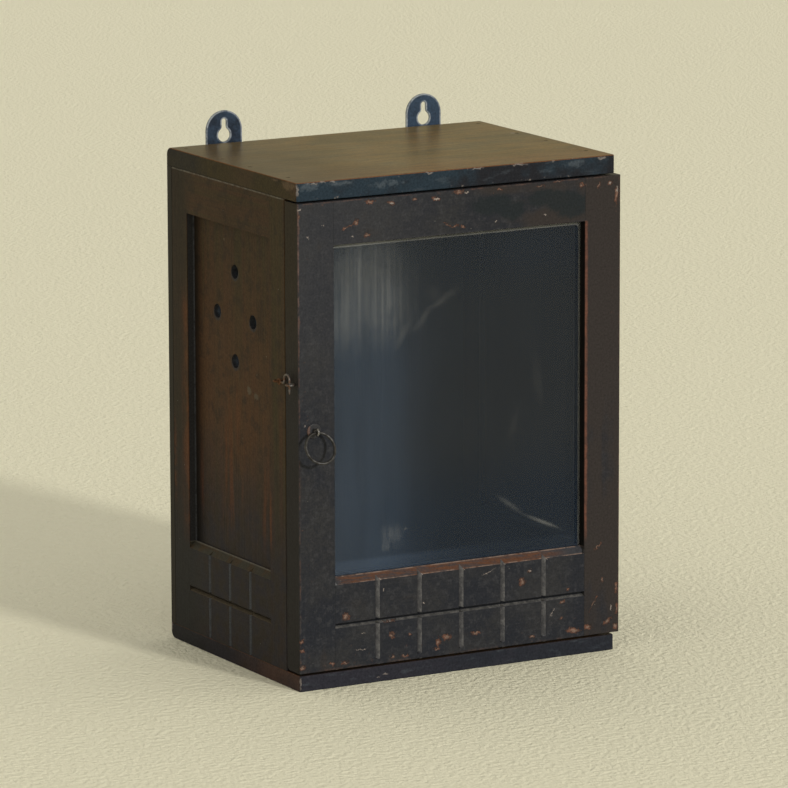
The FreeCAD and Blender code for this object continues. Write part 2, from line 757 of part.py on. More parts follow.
glass = new_body("door_glass")
GLASS_EDGE = "(rebate - glass_play)"
GLASS_BACK = f"({REBATE_FRONT} - glass_thick)"
block(
    glass,
    (f"{WINDOW_LEFT} - {GLASS_EDGE}", f"{WINDOW_RIGHT} + {GLASS_EDGE}"),
    (f"-{REBATE_FRONT}", f"-{GLASS_BACK}"),
    (f"({WINDOW_LOW} - {GLASS_EDGE})", f"({WINDOW_HIGH} + {GLASS_EDGE})"),
)

OUTER = rectangle(
    (f"{WINDOW_LEFT} - rebate", f"{WINDOW_RIGHT} + rebate"),
    (f"{WINDOW_LOW} - rebate", f"{WINDOW_HIGH} + rebate"),
)
INNER = rectangle(WINDOW, (WINDOW_LOW, WINDOW_HIGH))
BEADS = {"bottom": "top", "right": "left", "top": "bottom", "left": "right"}
for start, (place, inner_side) in enumerate(BEADS.items()):
    end = (start + 1) % len(BEADS)
    bead = new_body(f"{place}_glass_bead")
    mitred = [OUTER[start], OUTER[end], INNER[end], INNER[start]]
    pad(bead, "XZ", f"-{GLASS_BACK}", f"{GLASS_BACK} - {DOOR_BACK}", outline=mitred)
    soften(bead, "bead_round", ("back", inner_side))


# Butt hinges: knuckles of the two leaves alternate along the pin.

KNUCKLE = "(hinge_height/knuckles)"


def hinge_leaf(label, y, low, first, count, other_first, other_count, sink):
    """A leaf whose knuckles start at one place of the row and skip every second one."""
    body = new_body(label)
    block(body, (f"{PIN_X} - leaf_width", PIN_X), y, (low, f"({low} + hinge_height)"))
    length = f"{KNUCKLE} - knuckle_gap"
    start = f"{low} + {first}*{KNUCKLE} + knuckle_gap/2"
    barrel = pad(body, "XY", start, length, circles=[(PIN_X, PIN_Y, KNUCKLE_RADIUS)])
    repeat(body, barrel, "Z", f"2*{KNUCKLE}", count)
    start = f"{low} + {other_first}*{KNUCKLE} - knuckle_gap/2"
    clear = [(PIN_X, PIN_Y, f"{KNUCKLE_RADIUS} + knuckle_gap")]
    gap = cut(body, "XY", start, f"{KNUCKLE} + knuckle_gap", circles=clear)
    repeat(body, gap, "Z", f"2*{KNUCKLE}", other_count)
    cut(body, "XY", low, "hinge_height", circles=[(PIN_X, PIN_Y, "pin_radius + pin_fit")])
    holes = [(SCREW_X, z, SCREW_HOLE) for z in hinge_screw_levels(low)]
    cut(body, "XZ", y[0], "leaf_thick", circles=holes)
    countersink(body, sink)


CASE_KNUCKLES = "((knuckles + 1)/2)"
DOOR_KNUCKLES = "((knuckles - 1)/2)"
for name, (low, high) in HINGES.items():
    case_leaf = (f"-{CASE_FRONT}", f"-{CASE_FRONT} + leaf_thick")
    hinge_leaf(f"{name}_hinge_case_leaf", case_leaf, low, 0, CASE_KNUCKLES, 1, DOOR_KNUCKLES,
               f"-{CASE_FRONT}")
    door_leaf = (f"-{DOOR_BACK} - leaf_thick", f"-{DOOR_BACK}")
    hinge_leaf(f"{name}_hinge_door_leaf", door_leaf, low, 1, DOOR_KNUCKLES, 0, CASE_KNUCKLES,
               f"-{DOOR_BACK}")
    shaft = rod("pin_radius", "hinge_height", (PIN_X, PIN_Y, low), UP)
    foot = rod("pin_head_radius", "pin_head", (PIN_X, PIN_Y, low), DOWN)
    head = rod("pin_head_radius", "pin_head", (PIN_X, PIN_Y, high), UP)
    keep(fused(f"{name}_hinge_pin", [shaft, foot, head]), f"{name}_hinge_pin")

HINGE_SCREW_LEVELS = [z for low, high in HINGES.values() for z in hinge_screw_levels(low)]
group("hinge_case_screws", [
    screw("hinge_screw_length", (SCREW_X, f"-{CASE_FRONT}", z), BACK) for z in HINGE_SCREW_LEVELS
])
group("hinge_door_screws", [
    screw("hinge_screw_length", (SCREW_X, f"-{DOOR_BACK}", z), FRONT) for z in HINGE_SCREW_LEVELS
])


# Ring pull: a screw eye through a rosette, and a ring that hangs in the eye.

rosette = new_body("pull_rosette")
pad(rosette, "XZ", f"-{DOOR_FRONT} - rosette_thick", "rosette_thick",
    circles=[(PULL_X, "pull_height", "rosette_radius")])
doc.recompute()
rim = round_holes(rosette.Tip.Shape, number("rosette_radius"), "y", number(f"-{DOOR_FRONT} - rosette_thick"))
fillet(rosette, "rosette_round", rim)
cut(rosette, "XZ", f"-{DOOR_FRONT} - rosette_thick", "rosette_thick",
    circles=[(PULL_X, "pull_height", "pull_wire + fastener_fit")])

EYE_Y = f"-({DOOR_FRONT} + pull_standoff)"
eye = bend("pull_eye_radius", "pull_wire", 360, (PULL_X, EYE_Y, "pull_height"), FRONT, UP)
stem = rod("pull_wire", "pull_standoff - pull_eye_radius + pull_shank",
           (PULL_X, f"{EYE_Y} + pull_eye_radius", "pull_height"), BACK)
keep(fused("pull_eye", [eye, stem]), "pull_eye")

RING_SAG = "(pull_eye_radius - pull_wire - ring_wire - ring_seat)"
ring_centre = (
    PULL_X,
    f"{EYE_Y} - ring_radius*sin(ring_tilt)",
    f"pull_height - {RING_SAG} - ring_radius*cos(ring_tilt)",
)
ring = solid("Part::Torus", "pull_ring", {"Radius1": "ring_radius", "Radius2": "ring_wire"},
             ring_centre, Rotation(RIGHT, 1))
bind(ring, "Placement.Rotation.Angle", "90 - ring_tilt")
bind(ring, "Placement.Base.z", f"{ring_centre[2]} - {HANG_LINE}")
nodes.append(ring)


# Latch: two like screw eyes, and a wire hook linked in the eye of the case.

def screw_eye(label, y, face):
    loop = bend("latch_eye_radius", "latch_wire", 360, (LATCH_X, y, "latch_height"), LEFT, BACK)
    reach = f"{face} - {LATCH_X} - latch_eye_radius + latch_shank"
    stem = rod("latch_wire", reach, (f"{LATCH_X} + latch_eye_radius", y, "latch_height"), RIGHT)
    keep(fused(label, [loop, stem]), label)


screw_eye("latch_case_eye", CASE_EYE_Y, "-case_width/2")
screw_eye("latch_door_eye", DOOR_EYE_Y, DOOR_LEFT)

HOOK_Y = f"({CASE_EYE_Y} - latch_eye_radius)"
DROP_Y = f"({DOOR_EYE_Y} + hook_back)"
RISE_Y = f"({DROP_Y} + 2*hook_arch)"
ARCH_Z = "(latch_height + hook_arch_rise)"
loop = bend("hook_loop_radius", "latch_wire", 360, (LATCH_X, HOOK_Y, "latch_height"), BACK, UP)
arm = rod("latch_wire", f"{HOOK_Y} - hook_loop_radius - {RISE_Y} - hook_bend",
          (LATCH_X, f"{HOOK_Y} - hook_loop_radius", "latch_height"), FRONT)
turn_up = bend("hook_bend", "latch_wire", 90,
               (LATCH_X, f"{RISE_Y} + hook_bend", "latch_height + hook_bend"), DOWN, FRONT)
rise = rod("latch_wire", "hook_arch_rise - hook_bend", (LATCH_X, RISE_Y, "latch_height + hook_bend"), UP)
arch = bend("hook_arch", "latch_wire", 180, (LATCH_X, f"{DROP_Y} + hook_arch", ARCH_Z), BACK, UP)
drop = rod("latch_wire", "hook_arch_rise + hook_drop", (LATCH_X, DROP_Y, ARCH_Z), DOWN)
tip = cone("latch_wire", "hook_tip_radius", "hook_tip", (LATCH_X, DROP_Y, "latch_height - hook_drop"), DOWN)
keep(fused("latch_hook", [loop, arm, turn_up, rise, arch, drop, tip]), "latch_hook")


# Check every feature and shape, then write one file for each piece.

doc.recompute()
for thing in doc.Objects:
    if "Invalid" in thing.State or "Error" in thing.State:
        raise RuntimeError(f"{thing.Label} failed: {thing.State}")
    if thing.TypeId == "PartDesign::Pocket" and thing.Shape.Volume >= thing.BaseFeature.Shape.Volume:
        raise RuntimeError(f"{thing.Label} cuts nothing")
for node in nodes:
    if node.Shape.isNull() or not node.Shape.isValid():
        raise RuntimeError(f"{node.Label} has no valid shape")

os.makedirs("parts", exist_ok=True)
for node in nodes:
    node.Shape.exportStep(f"parts/{node.Label}.step")
    print(f"{node.Label}: {len(node.Shape.Solids)} solids, {node.Shape.Volume:.1f} cubic mm")
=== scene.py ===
import math

import bpy
from mathutils import Matrix, Vector


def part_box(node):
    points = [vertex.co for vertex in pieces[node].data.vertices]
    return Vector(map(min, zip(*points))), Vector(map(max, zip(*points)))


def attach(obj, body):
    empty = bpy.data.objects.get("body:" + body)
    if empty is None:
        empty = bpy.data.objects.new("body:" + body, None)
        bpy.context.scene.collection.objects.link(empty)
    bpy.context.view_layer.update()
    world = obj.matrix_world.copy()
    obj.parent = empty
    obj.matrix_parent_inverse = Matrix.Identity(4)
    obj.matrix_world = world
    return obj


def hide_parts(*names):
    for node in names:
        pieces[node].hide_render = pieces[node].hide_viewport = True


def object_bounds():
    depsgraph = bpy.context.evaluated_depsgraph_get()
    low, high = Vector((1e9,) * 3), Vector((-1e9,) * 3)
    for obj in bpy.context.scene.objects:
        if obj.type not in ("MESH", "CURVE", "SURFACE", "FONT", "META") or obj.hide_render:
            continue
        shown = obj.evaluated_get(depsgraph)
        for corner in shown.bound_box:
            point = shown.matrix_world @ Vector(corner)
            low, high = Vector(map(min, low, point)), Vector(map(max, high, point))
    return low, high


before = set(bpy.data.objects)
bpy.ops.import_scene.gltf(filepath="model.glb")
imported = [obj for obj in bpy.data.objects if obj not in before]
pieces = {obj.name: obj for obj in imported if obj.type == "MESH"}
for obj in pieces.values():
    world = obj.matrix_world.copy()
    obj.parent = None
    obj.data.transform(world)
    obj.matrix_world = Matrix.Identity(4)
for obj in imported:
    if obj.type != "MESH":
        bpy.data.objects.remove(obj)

cad_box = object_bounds()


# Back panel: a thin upright board nailed behind the side frames, between the top and the bottom.
# Its front is blue-black like the rest of the inside; its back is bare wood, grey with wall dust.

class Finish:
    """The nodes of one material, or of the world, put together layer by layer."""

    FAR_AWAY = 9.0

    def __init__(self, name, world=False):
        self.owner = (bpy.data.worlds if world else bpy.data.materials).new(name)
        self.owner.use_nodes = True
        self.tree = self.owner.node_tree
        self.tree.nodes.clear()
        self.place = self.add("ShaderNodeTexCoord").outputs["Object"]
        self.axes = self.add("ShaderNodeSeparateXYZ", self.place).outputs
        self.colour = None

    def feed(self, socket, value):
        """A link where the value varies over the piece, and otherwise the plain value."""
        if isinstance(value, bpy.types.NodeSocket):
            self.tree.links.new(value, socket)
        elif isinstance(value, tuple) and socket.type == "RGBA":
            socket.default_value = (*value, 1)
        elif value is not None:
            socket.default_value = value

    def add(self, kind, *values, **settings):
        node = self.tree.nodes.new(kind)
        for name, value in settings.items():
            setattr(node, name, value)
        for socket, value in zip(node.inputs, values):
            self.feed(socket, value)
        return node

    def calc(self, operation, *values):
        return self.add("ShaderNodeMath", *values, operation=operation).outputs[0]

    def vector(self, operation, *values):
        return self.add("ShaderNodeVectorMath", *values, operation=operation).outputs[0]

    def chain(self, operation, values):
        result = values[0]
        for value in values[1:]:
            result = self.calc(operation, result, value)
        return result

    def times(self, *values):
        return self.chain("MULTIPLY", values)

    def plus(self, *values):
        return self.chain("ADD", values)

    def most(self, *values):
        return self.chain("MAXIMUM", values)

    def least(self, *values):
        return self.chain("MINIMUM", values)

    def minus(self, value, taken):
        return self.calc("SUBTRACT", value, taken)

    def off(self, value, middle):
        """How far a value lies from a middle, to either side."""
        return self.calc("ABSOLUTE", self.minus(value, middle))

    def slant(self, aside, up):
        """The straight distance to a point so far aside and so far up."""
        return self.calc("SQRT", self.plus(self.times(aside, aside), self.times(up, up)))

    def fade(self, value, *ends):
        """From 0 at a start to 1 at an end, softly; a second pair of ends limits it again."""
        return self.times(*[
            self.add("ShaderNodeMapRange", value, *pair, interpolation_type="SMOOTHSTEP").outputs[0]
            for pair in zip(ends[::2], ends[1::2])
        ])

    def span(self, value, low, high):
        """A share from 0 to 1 spread evenly between two values."""
        return self.add("ShaderNodeMapRange", value, 0.0, 1.0, low, high).outputs[0]

    def noise(self, scale, detail=3, rough=0.55, where=None):
        where = where or self.place
        return self.add("ShaderNodeTexNoise", where, None, scale, detail, rough).outputs[0]

    def streaks(self, scales, detail, rough):
        """Noise drawn out along one axis and squeezed along the others."""
        return self.noise(1, detail, rough, self.vector("MULTIPLY", self.place, scales))

    def warp(self, scale, reach):
        """The place on the piece, pushed about so that outlines drawn there come out ragged."""
        push = self.add("ShaderNodeTexNoise", self.place, None, scale, 4, 0.65).outputs["Color"]
        push = self.vector("SUBTRACT", push, (0.5, 0.5, 0.5))
        return self.vector("ADD", self.place, self.vector("SCALE", push, None, None, reach))

    def ragged(self, scale, reach):
        """A push to and fro that frays a worn edge."""
        return self.times(self.minus(self.noise(scale, 4, 0.7), 0.5), reach)

    def specks(self, pitch, size):
        """Single grains of dust, scattered a given pitch apart."""
        cell = self.add("ShaderNodeTexVoronoi", self.place, None, 1 / pitch).outputs["Distance"]
        return self.fade(cell, size / pitch, size / pitch * 0.6)

    def mix(self, share, under, over):
        node = self.add("ShaderNodeMix", share, data_type="RGBA")
        self.feed(node.inputs[6], under)
        self.feed(node.inputs[7], over)
        return node.outputs[2]

    def over(self, colour, tone, *shares):
        """A colour with one more tone over it, as strong as the product of the shares."""
        return self.mix(self.times(*shares), colour, tone)

    def coat(self, tone, *shares):
        """One more tone over all the colour that the piece has so far."""
        self.colour = self.over(self.colour, tone, *shares)

    def tooth(self, strength):
        """Small unevenness of tone all over, as in worn paint and varnish."""
        shade = self.span(self.noise(520, 2, 0.6), 1 - strength, 1 + strength)
        self.colour = self.vector("SCALE", self.colour, None, None, shade)

    def edge(self, low, high):
        """How far a point on the skin of a box lies from the nearest of its edges."""
        gaps = [
            self.minus((end - start) / 2, self.off(along, (start + end) / 2))
            for along, start, end in zip(self.axes, low, high)
        ]
        return self.most(self.least(*gaps[:2]), self.least(self.most(*gaps[:2]), gaps[2]))

    def marks(self, where, spots):
        """How far a point lies from the nearest oval mark, as a share of the mark's own size."""
        nearest = self.FAR_AWAY
        for middle, size, turn in spots:
            oval = self.add("ShaderNodeMapping", where, middle, turn, size, vector_type="TEXTURE")
            reach = self.add("ShaderNodeVectorMath", oval.outputs[0], operation="LENGTH")
            nearest = self.least(reach.outputs["Value"], nearest)
        return nearest

    def done(self, roughness, height, lift, **plain):
        """One shader from the colour, roughness and relief; even values go on its own sockets."""
        skin = self.add("ShaderNodeBsdfPrincipled")
        self.feed(skin.inputs["Base Color"], self.colour)
        self.feed(skin.inputs["Roughness"], roughness)
        relief = self.add("ShaderNodeBump")
        relief.inputs["Strength"].default_value = 1
        relief.inputs["Distance"].default_value = lift
        self.feed(relief.inputs["Height"], height)
        self.feed(skin.inputs["Normal"], relief.outputs[0])
        for name, value in plain.items():
            skin.inputs[name.replace("_", " ")].default_value = value
        self.add("ShaderNodeOutputMaterial", skin.outputs[0])
        return self.owner


def dress(material, *names):
    for name in names:
        for slot in pieces[name].material_slots:
            slot.material = material


ALONG_X, ALONG_Y, ALONG_Z = range(3)
FIBRE_ACROSS, FIBRE_ALONG = 620, 9
BAND_ACROSS, BAND_ALONG = 95, 2.6


def grain(finish, along):
    """Fine fibres and broad bands of wood, running along one axis."""
    fibre, band = [FIBRE_ACROSS] * 3, [BAND_ACROSS] * 3
    fibre[along], band[along] = FIBRE_ALONG, BAND_ALONG
    return finish.streaks(fibre, 5, 0.62), finish.streaks(band, 3, 0.5)


INSIDE_BLACK = (0.008, 0.01, 0.014)
INSIDE_GREY = (0.015, 0.018, 0.023)
INSIDE_FIBRE = (0.026, 0.028, 0.031)


def inside_paint(finish, fibre, band):
    """Thin blue-black paint that the whole inside shares, cloudy with dust."""
    shade = finish.mix(finish.noise(11, 4), INSIDE_BLACK, INSIDE_GREY)
    return finish.over(shade, INSIDE_FIBRE, finish.fade(fibre, 0.5, 0.8), band)


BARE_BACK = (0.115, 0.075, 0.045)
BARE_BACK_DARK = (0.055, 0.036, 0.022)
WALL_DUST = (0.2, 0.19, 0.16)
BACK_EDGE = (0.02, 0.0165, 0.0125)
BARE_BEHIND = (-0.0085, -0.007)

back = Finish("back_panel_bare_wood")
fibre, band = grain(back, ALONG_Z)
bare = back.mix(band, BARE_BACK_DARK, BARE_BACK)
bare = back.over(bare, BARE_BACK_DARK, back.fade(fibre, 0.48, 0.8), 0.6)
bare = back.over(bare, WALL_DUST, back.fade(back.noise(9, 5, 0.7), 0.5, 0.8), 0.4)
behind = back.fade(back.axes[ALONG_Y], *BARE_BEHIND)
back.colour = back.mix(behind, inside_paint(back, fibre, band), bare)
back_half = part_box("back_panel")[1].x
edges = back.fade(back.calc("ABSOLUTE", back.axes[ALONG_X]), back_half - 0.0024, back_half - 0.0014)
back.coat(BACK_EDGE, edges)
dress(back.done(back.span(band, 0.5, 0.75), fibre, 0.00018, Specular_IOR_Level=0.2), "back_panel")


# Side frames: stiles tenoned with a top rail and a deep lower rail round a thin upright panel.
# Dark varnished wood, olive above and redder below, rubbed through along the opening. The V grooves
# and the bevel carved in the lower rail hold grey wax and dust, the grooves also painted paler and
# bluer as a painted sheen; the cross groove has painted light and shade, and the recess beside the
# panel painted shade; the inside is painted.

side_low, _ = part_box("left_front_stile")
_, side_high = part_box("right_back_stile")
rail_low, rail_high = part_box("left_bottom_rail")
top_rail_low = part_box("left_top_rail")[0].z
front_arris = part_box("left_front_stile")[1].y
back_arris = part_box("left_back_stile")[0].y

PANEL_SETBACK = 0.0075
PANEL_INSIDE = 0.0135
LOWER_TILE = 0.04
GROOVE_HALF = 0.0025
GROOVE_DEEP = 0.004
GROOVE_EDGE = (GROOVE_HALF + 0.0003, GROOVE_HALF - 0.0002)
BEVEL = 0.0065

OLIVE = (0.045, 0.0328, 0.0142)
UMBER = (0.056, 0.0305, 0.0155)
DUSK = (0.0215, 0.0168, 0.013)
PANEL_WARM = (0.079, 0.0365, 0.0165)
LOW_GREY = (0.024, 0.021, 0.025)
GRIME = (0.0215, 0.0215, 0.021)
PANEL_SHADE = (0.011, 0.01, 0.0085)
EMBER = (0.15, 0.044, 0.013)
RUBBED = (0.155, 0.062, 0.028)
GROOVE_WAX_AND_SHEEN = (0.105, 0.109, 0.114)
GROOVE_LIT = (0.08, 0.063, 0.041)
GROOVE_SHADE = (0.042, 0.036, 0.028)
BEVEL_OLIVE = (0.05, 0.045, 0.031)
BEVEL_BROWN = (0.062, 0.042, 0.023)
HOLE_DARK = (0.034, 0.033, 0.035)
VENT_LIP = (0.035, 0.034, 0.036)
RECESS_SHADE = (0.036, 0.0345, 0.0345)
LIP_PALE = (0.15, 0.136, 0.106)
SCUFF = (0.105, 0.09, 0.062)
DUST = (0.24, 0.23, 0.2)
DUST_GRAIN = 0.0005
LEDGE_DUST_AND_LIGHT = (0.09, 0.088, 0.08)

# Where each tone comes in, from none to all of it.
WARM_BAND = (-0.06, -0.2, -0.36, -0.25)
GREY_FALL = (-0.18, -0.31)
EMBER_BAND = (-0.17, -0.26, -0.375, -0.32)
CORNER_LOW, CORNER_BACK = (-0.31, -0.4), (-0.085, -0.035)
RUB_BAND = (-0.115, -0.15, -0.375, -0.355)
FLARE_BAND = (-0.285, -0.31, -0.352, -0.335)
REAR_RUB_BAND, REAR_RUB_LINE = (-0.24, -0.28, -0.345, -0.31), -0.0085
LIT_LEDGE_BAND = (-0.065, -0.115, -0.212, -0.203)


def spot(x, y, z, wide, deep, high, turn=(0, 0, 0)):
    """An oval mark on a surface, placed and sized in millimetres and turned in degrees."""
    return (
        (x / 1000, y / 1000, z / 1000),
        (wide / 1000, deep / 1000, high / 1000),
        tuple(math.radians(angle) for angle in turn),
    )


VENT_DROP, VENT_ASIDE, VENT_RISE = 84, 34, 41
LIP_DROP, LIP_DEEP, LIP_HALF = 1.5, 9, 7.4
panel_face = (side_low.x + PANEL_SETBACK) * 1000
vent_y = (front_arris + back_arris) * 500
vent_z = top_rail_low * 1000 - VENT_DROP
VENT_LIPS = [
    spot(panel_face, vent_y + aside, vent_z + above - LIP_DROP, LIP_DEEP, LIP_HALF, LIP_HALF)
    for aside, above in ((VENT_ASIDE, 0), (-VENT_ASIDE, 0), (0, VENT_RISE), (0, -VENT_RISE))
]
PANEL_SCUFFS = [
    spot(panel_face, -143.2, -210.5, 4, 6, 5),
    spot(panel_face, -156.5, -214.2, 4, 6, 4.5),
    spot(panel_face, -97, -79, 4, 2, 2),
]


def dusted(finish, pitch, strength):
    """The last of a worn finish: single grains of dust, and small unevenness of tone."""
    finish.coat(DUST, finish.specks(pitch, DUST_GRAIN), 0.6)
    finish.tooth(strength)


def side_varnish(name, along):
    """The varnish of the side frames, with its grain along one axis."""
    side = Finish(name)
    x, y, z = side.axes
    fibre, band = grain(side, along)
    cloud = side.noise(16, 3)
    fine = side.noise(150, 4, 0.65)
    blotch = side.noise(75, 3, 0.6)
    depth = side.minus(side_high.x, side.calc("ABSOLUTE", x))
    skin = side.fade(depth, 0.0016, 0.0006)
    on_panel = side.fade(depth, PANEL_SETBACK - 0.0009, PANEL_SETBACK - 0.0001)

    side.colour = side.mix(side.fade(band, 0.35, 0.65), OLIVE, UMBER)
    side.coat(PANEL_WARM, on_panel, side.fade(z, *WARM_BAND), side.span(band, 0.35, 0.9))
    low = side.fade(side.plus(z, side.times(cloud, 0.12)), *GREY_FALL)
    side.coat(LOW_GREY, low, side.span(side.fade(blotch, 0.35, 0.65), 1.0, 0.65))
    rear = side.fade(y, back_arris - 0.012, back_arris + 0.012)
    side.coat(DUSK, rear, side.span(cloud, 0.45, 0.85))
    side.coat(DUSK, side.fade(fibre, 0.48, 0.7), 0.3)
    side.coat(DUSK, side.fade(blotch, 0.48, 0.68), 0.5)

    streak = side.fade(side.streaks((60, 60, 6), 4, 0.65), 0.48, 0.76)
    side.coat(EMBER, streak, side.fade(z, *EMBER_BAND), side.span(on_panel, 0.25, 1), 0.46)
    side.coat(GRIME, side.fade(z, *CORNER_LOW), side.fade(y, *CORNER_BACK), side.span(fine, 0.6, 1))
    side.coat(PANEL_SHADE, on_panel, side.fade(y, back_arris - 0.022, back_arris - 0.001), 0.75)

    carved = side.times(
        side.fade(depth, 0.00005, 0.0003, PANEL_SETBACK - 0.0007, PANEL_SETBACK - 0.0013),
        side.fade(z, rail_high.z + 0.0006, rail_high.z + 0.0002),
        side.fade(
            y, front_arris - 0.0006, front_arris - 0.0001, back_arris + 0.0006, back_arris + 0.0001)
    )
    bevel_foot = rail_high.z - BEVEL
    bevel = side.times(carved, side.fade(z, bevel_foot - 0.0004, bevel_foot + 0.0004))
    level = side.minus(z, rail_low.z + LOWER_TILE)
    across = side.fade(side.calc("ABSOLUTE", level), *GROOVE_EDGE)
    upright = side.times(side.minus(carved, bevel), side.minus(1.0, across))
    # Painted sheen: the upright grooves get a pale bluish grey, wax and dust that also stand for
    # the light their walls catch.
    side.coat(GROOVE_WAX_AND_SHEEN, upright, side.span(cloud, 0.6, 1))
    # Painted light and shade in the cross groove: a lit tone on its lower wall, a line of painted
    # shade along its top.
    side.coat(side.mix(side.fade(level, -0.0007, -0.0001), GROOVE_LIT, GROOVE_SHADE), carved, across)
    side.coat(side.mix(side.fade(blotch, 0.42, 0.62), BEVEL_OLIVE, BEVEL_BROWN), bevel, 0.85)
    lip = side.fade(z, rail_high.z - 0.0014, rail_high.z - 0.0004)
    side.coat(LIP_PALE, bevel, lip, side.span(fine, 0.35, 1))

    fray = side.ragged(120, 0.006)
    beside = side.off(y, back_arris)
    patchy = side.fade(side.streaks((40, 40, 22), 3, 0.6), 0.42, 0.62)
    rub = side.times(
        side.fade(side.plus(beside, fray), 0.016, 0.0008), skin,
        side.fade(z, *RUB_BAND), side.span(patchy, 0.25, 1),
    )
    flare = side.times(
        side.fade(side.plus(side.off(y, front_arris), fray), 0.004, 0.0006), skin,
        side.fade(z, *FLARE_BAND),
    )
    rear_rub = side.times(
        side.fade(side.off(y, REAR_RUB_LINE), 0.01, 0.002), skin,
        side.fade(z, *REAR_RUB_BAND), side.fade(fine, 0.35, 0.6),
    )
    bare = side.most(rub, flare, side.times(rear_rub, 0.6))
    side.coat(RUBBED, bare, 0.62)

    # Painted shade: the inner edge of the back stile, beside the sunk panel, is painted a dark
    # grey; a pale line of dust and sheen follows in its corner.
    recess = side.times(
        side.fade(depth, 0.0003, 0.001, PANEL_SETBACK + 0.0007, PANEL_SETBACK + 0.0003),
        side.fade(beside, 0.0008, 0.0003),
        side.fade(z, rail_high.z - 0.0004, rail_high.z),
    )
    side.coat(RECESS_SHADE, recess)
    settled = side.span(side.fade(fine, 0.3, 0.6), 0.1, 0.55)
    side.coat(GROOVE_WAX_AND_SHEEN, recess, side.fade(depth, 0.0056, 0.0068), settled)
    seam = side.times(side.fade(z, side_high.z - 0.0018, side_high.z - 0.0007), skin)
    side.coat(LIP_PALE, seam, side.span(side.fade(fine, 0.35, 0.6), 0.2, 0.75))
    scuffs = side.plus(side.marks(side.warp(260, 0.006), PANEL_SCUFFS), fine)
    side.coat(SCUFF, side.fade(scuffs, 1.35, 1.0), 0.6)

    lips = side.marks(side.place, VENT_LIPS)
    side.coat(VENT_LIP, side.fade(lips, 1.12, 0.85), on_panel, 0.8)
    in_hole = side.fade(
        depth, PANEL_SETBACK + 0.0002, PANEL_SETBACK + 0.0008,
        PANEL_INSIDE + 0.0001, PANEL_INSIDE - 0.0005,
    )
    side.coat(HOLE_DARK, on_panel, in_hole)
    inside = side.times(
        side.fade(depth, PANEL_INSIDE - 0.0005, PANEL_INSIDE + 0.0001),
        side.fade(y, side_low.y + 0.0004, side_low.y + 0.0012),
    )
    side.coat(inside_paint(side, fibre, band), inside)
    # Painted light: a pale band of dust on the inner ledge of the lower rail, brighter than the dim
    # inside would light it.
    ledge = side.times(inside, side.fade(side.off(z, rail_high.z), 0.0016, 0.0006))
    side.coat(LEDGE_DUST_AND_LIGHT, ledge, side.span(side.fade(y, *LIT_LEDGE_BAND), 0.05, 0.5))
    dusted(side, 0.021, 0.5)

    rough = side.plus(side.span(cloud, 0.34, 0.48), side.times(bare, 0.2))
    height = side.plus(side.times(fibre, 0.7), side.times(band, 0.5), side.times(cloud, 0.8))
    return side.done(rough, height, 0.00022, Specular_IOR_Level=0.05)


uprights = side_varnish("side_upright_varnish", ALONG_Z)
rails = side_varnish("side_rail_varnish", ALONG_Y)
for side in ("left", "right"):
    dress(uprights, f"{side}_front_stile", f"{side}_back_stile", f"{side}_panel")
    dress(rails, f"{side}_top_rail", f"{side}_bottom_rail")


# Top and bottom boards: solid boards nailed over the ends of the side frames, back edge rounded.
# The outer faces and the ends are worn varnish, grained from side to side, the inner faces painted
# like the inside; the front edges are blue-black like the door, their blue partly a painted sheen,
# chipped pale along the arrises.

HONEY = (0.172, 0.104, 0.0245)
HONEY_OLIVE = (0.122, 0.087, 0.0265)
HONEY_DARK = (0.0585, 0.0372, 0.0117)
HONEY_RED = (0.18, 0.083, 0.0195)
EDGE_NAVY_AND_SHEEN = (0.0175, 0.0178, 0.0208)
EDGE_SLATE_AND_SHEEN = (0.0212, 0.023, 0.029)
EDGE_BLUE_AND_SHEEN = (0.0215, 0.033, 0.044)
EDGE_VIOLET_AND_SHEEN = (0.026, 0.0258, 0.0325)
EDGE_PALE = (0.085, 0.1, 0.112)
ARRIS_WOOD = (0.2, 0.08, 0.022)
CHIP_PALE = (0.26, 0.22, 0.19)
END_TAN = (0.125, 0.082, 0.046)
END_RED = (0.078, 0.041, 0.028)

REDDER_FRONT, DARKER_LEFT, BLUER_LEFT = (-0.17, -0.235), (-0.02, -0.15), (0.04, -0.1)
END_FRONT, END_BACK = (-0.1, -0.22), (-0.09, -0.04)
inside_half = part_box("right_front_stile")[0].x


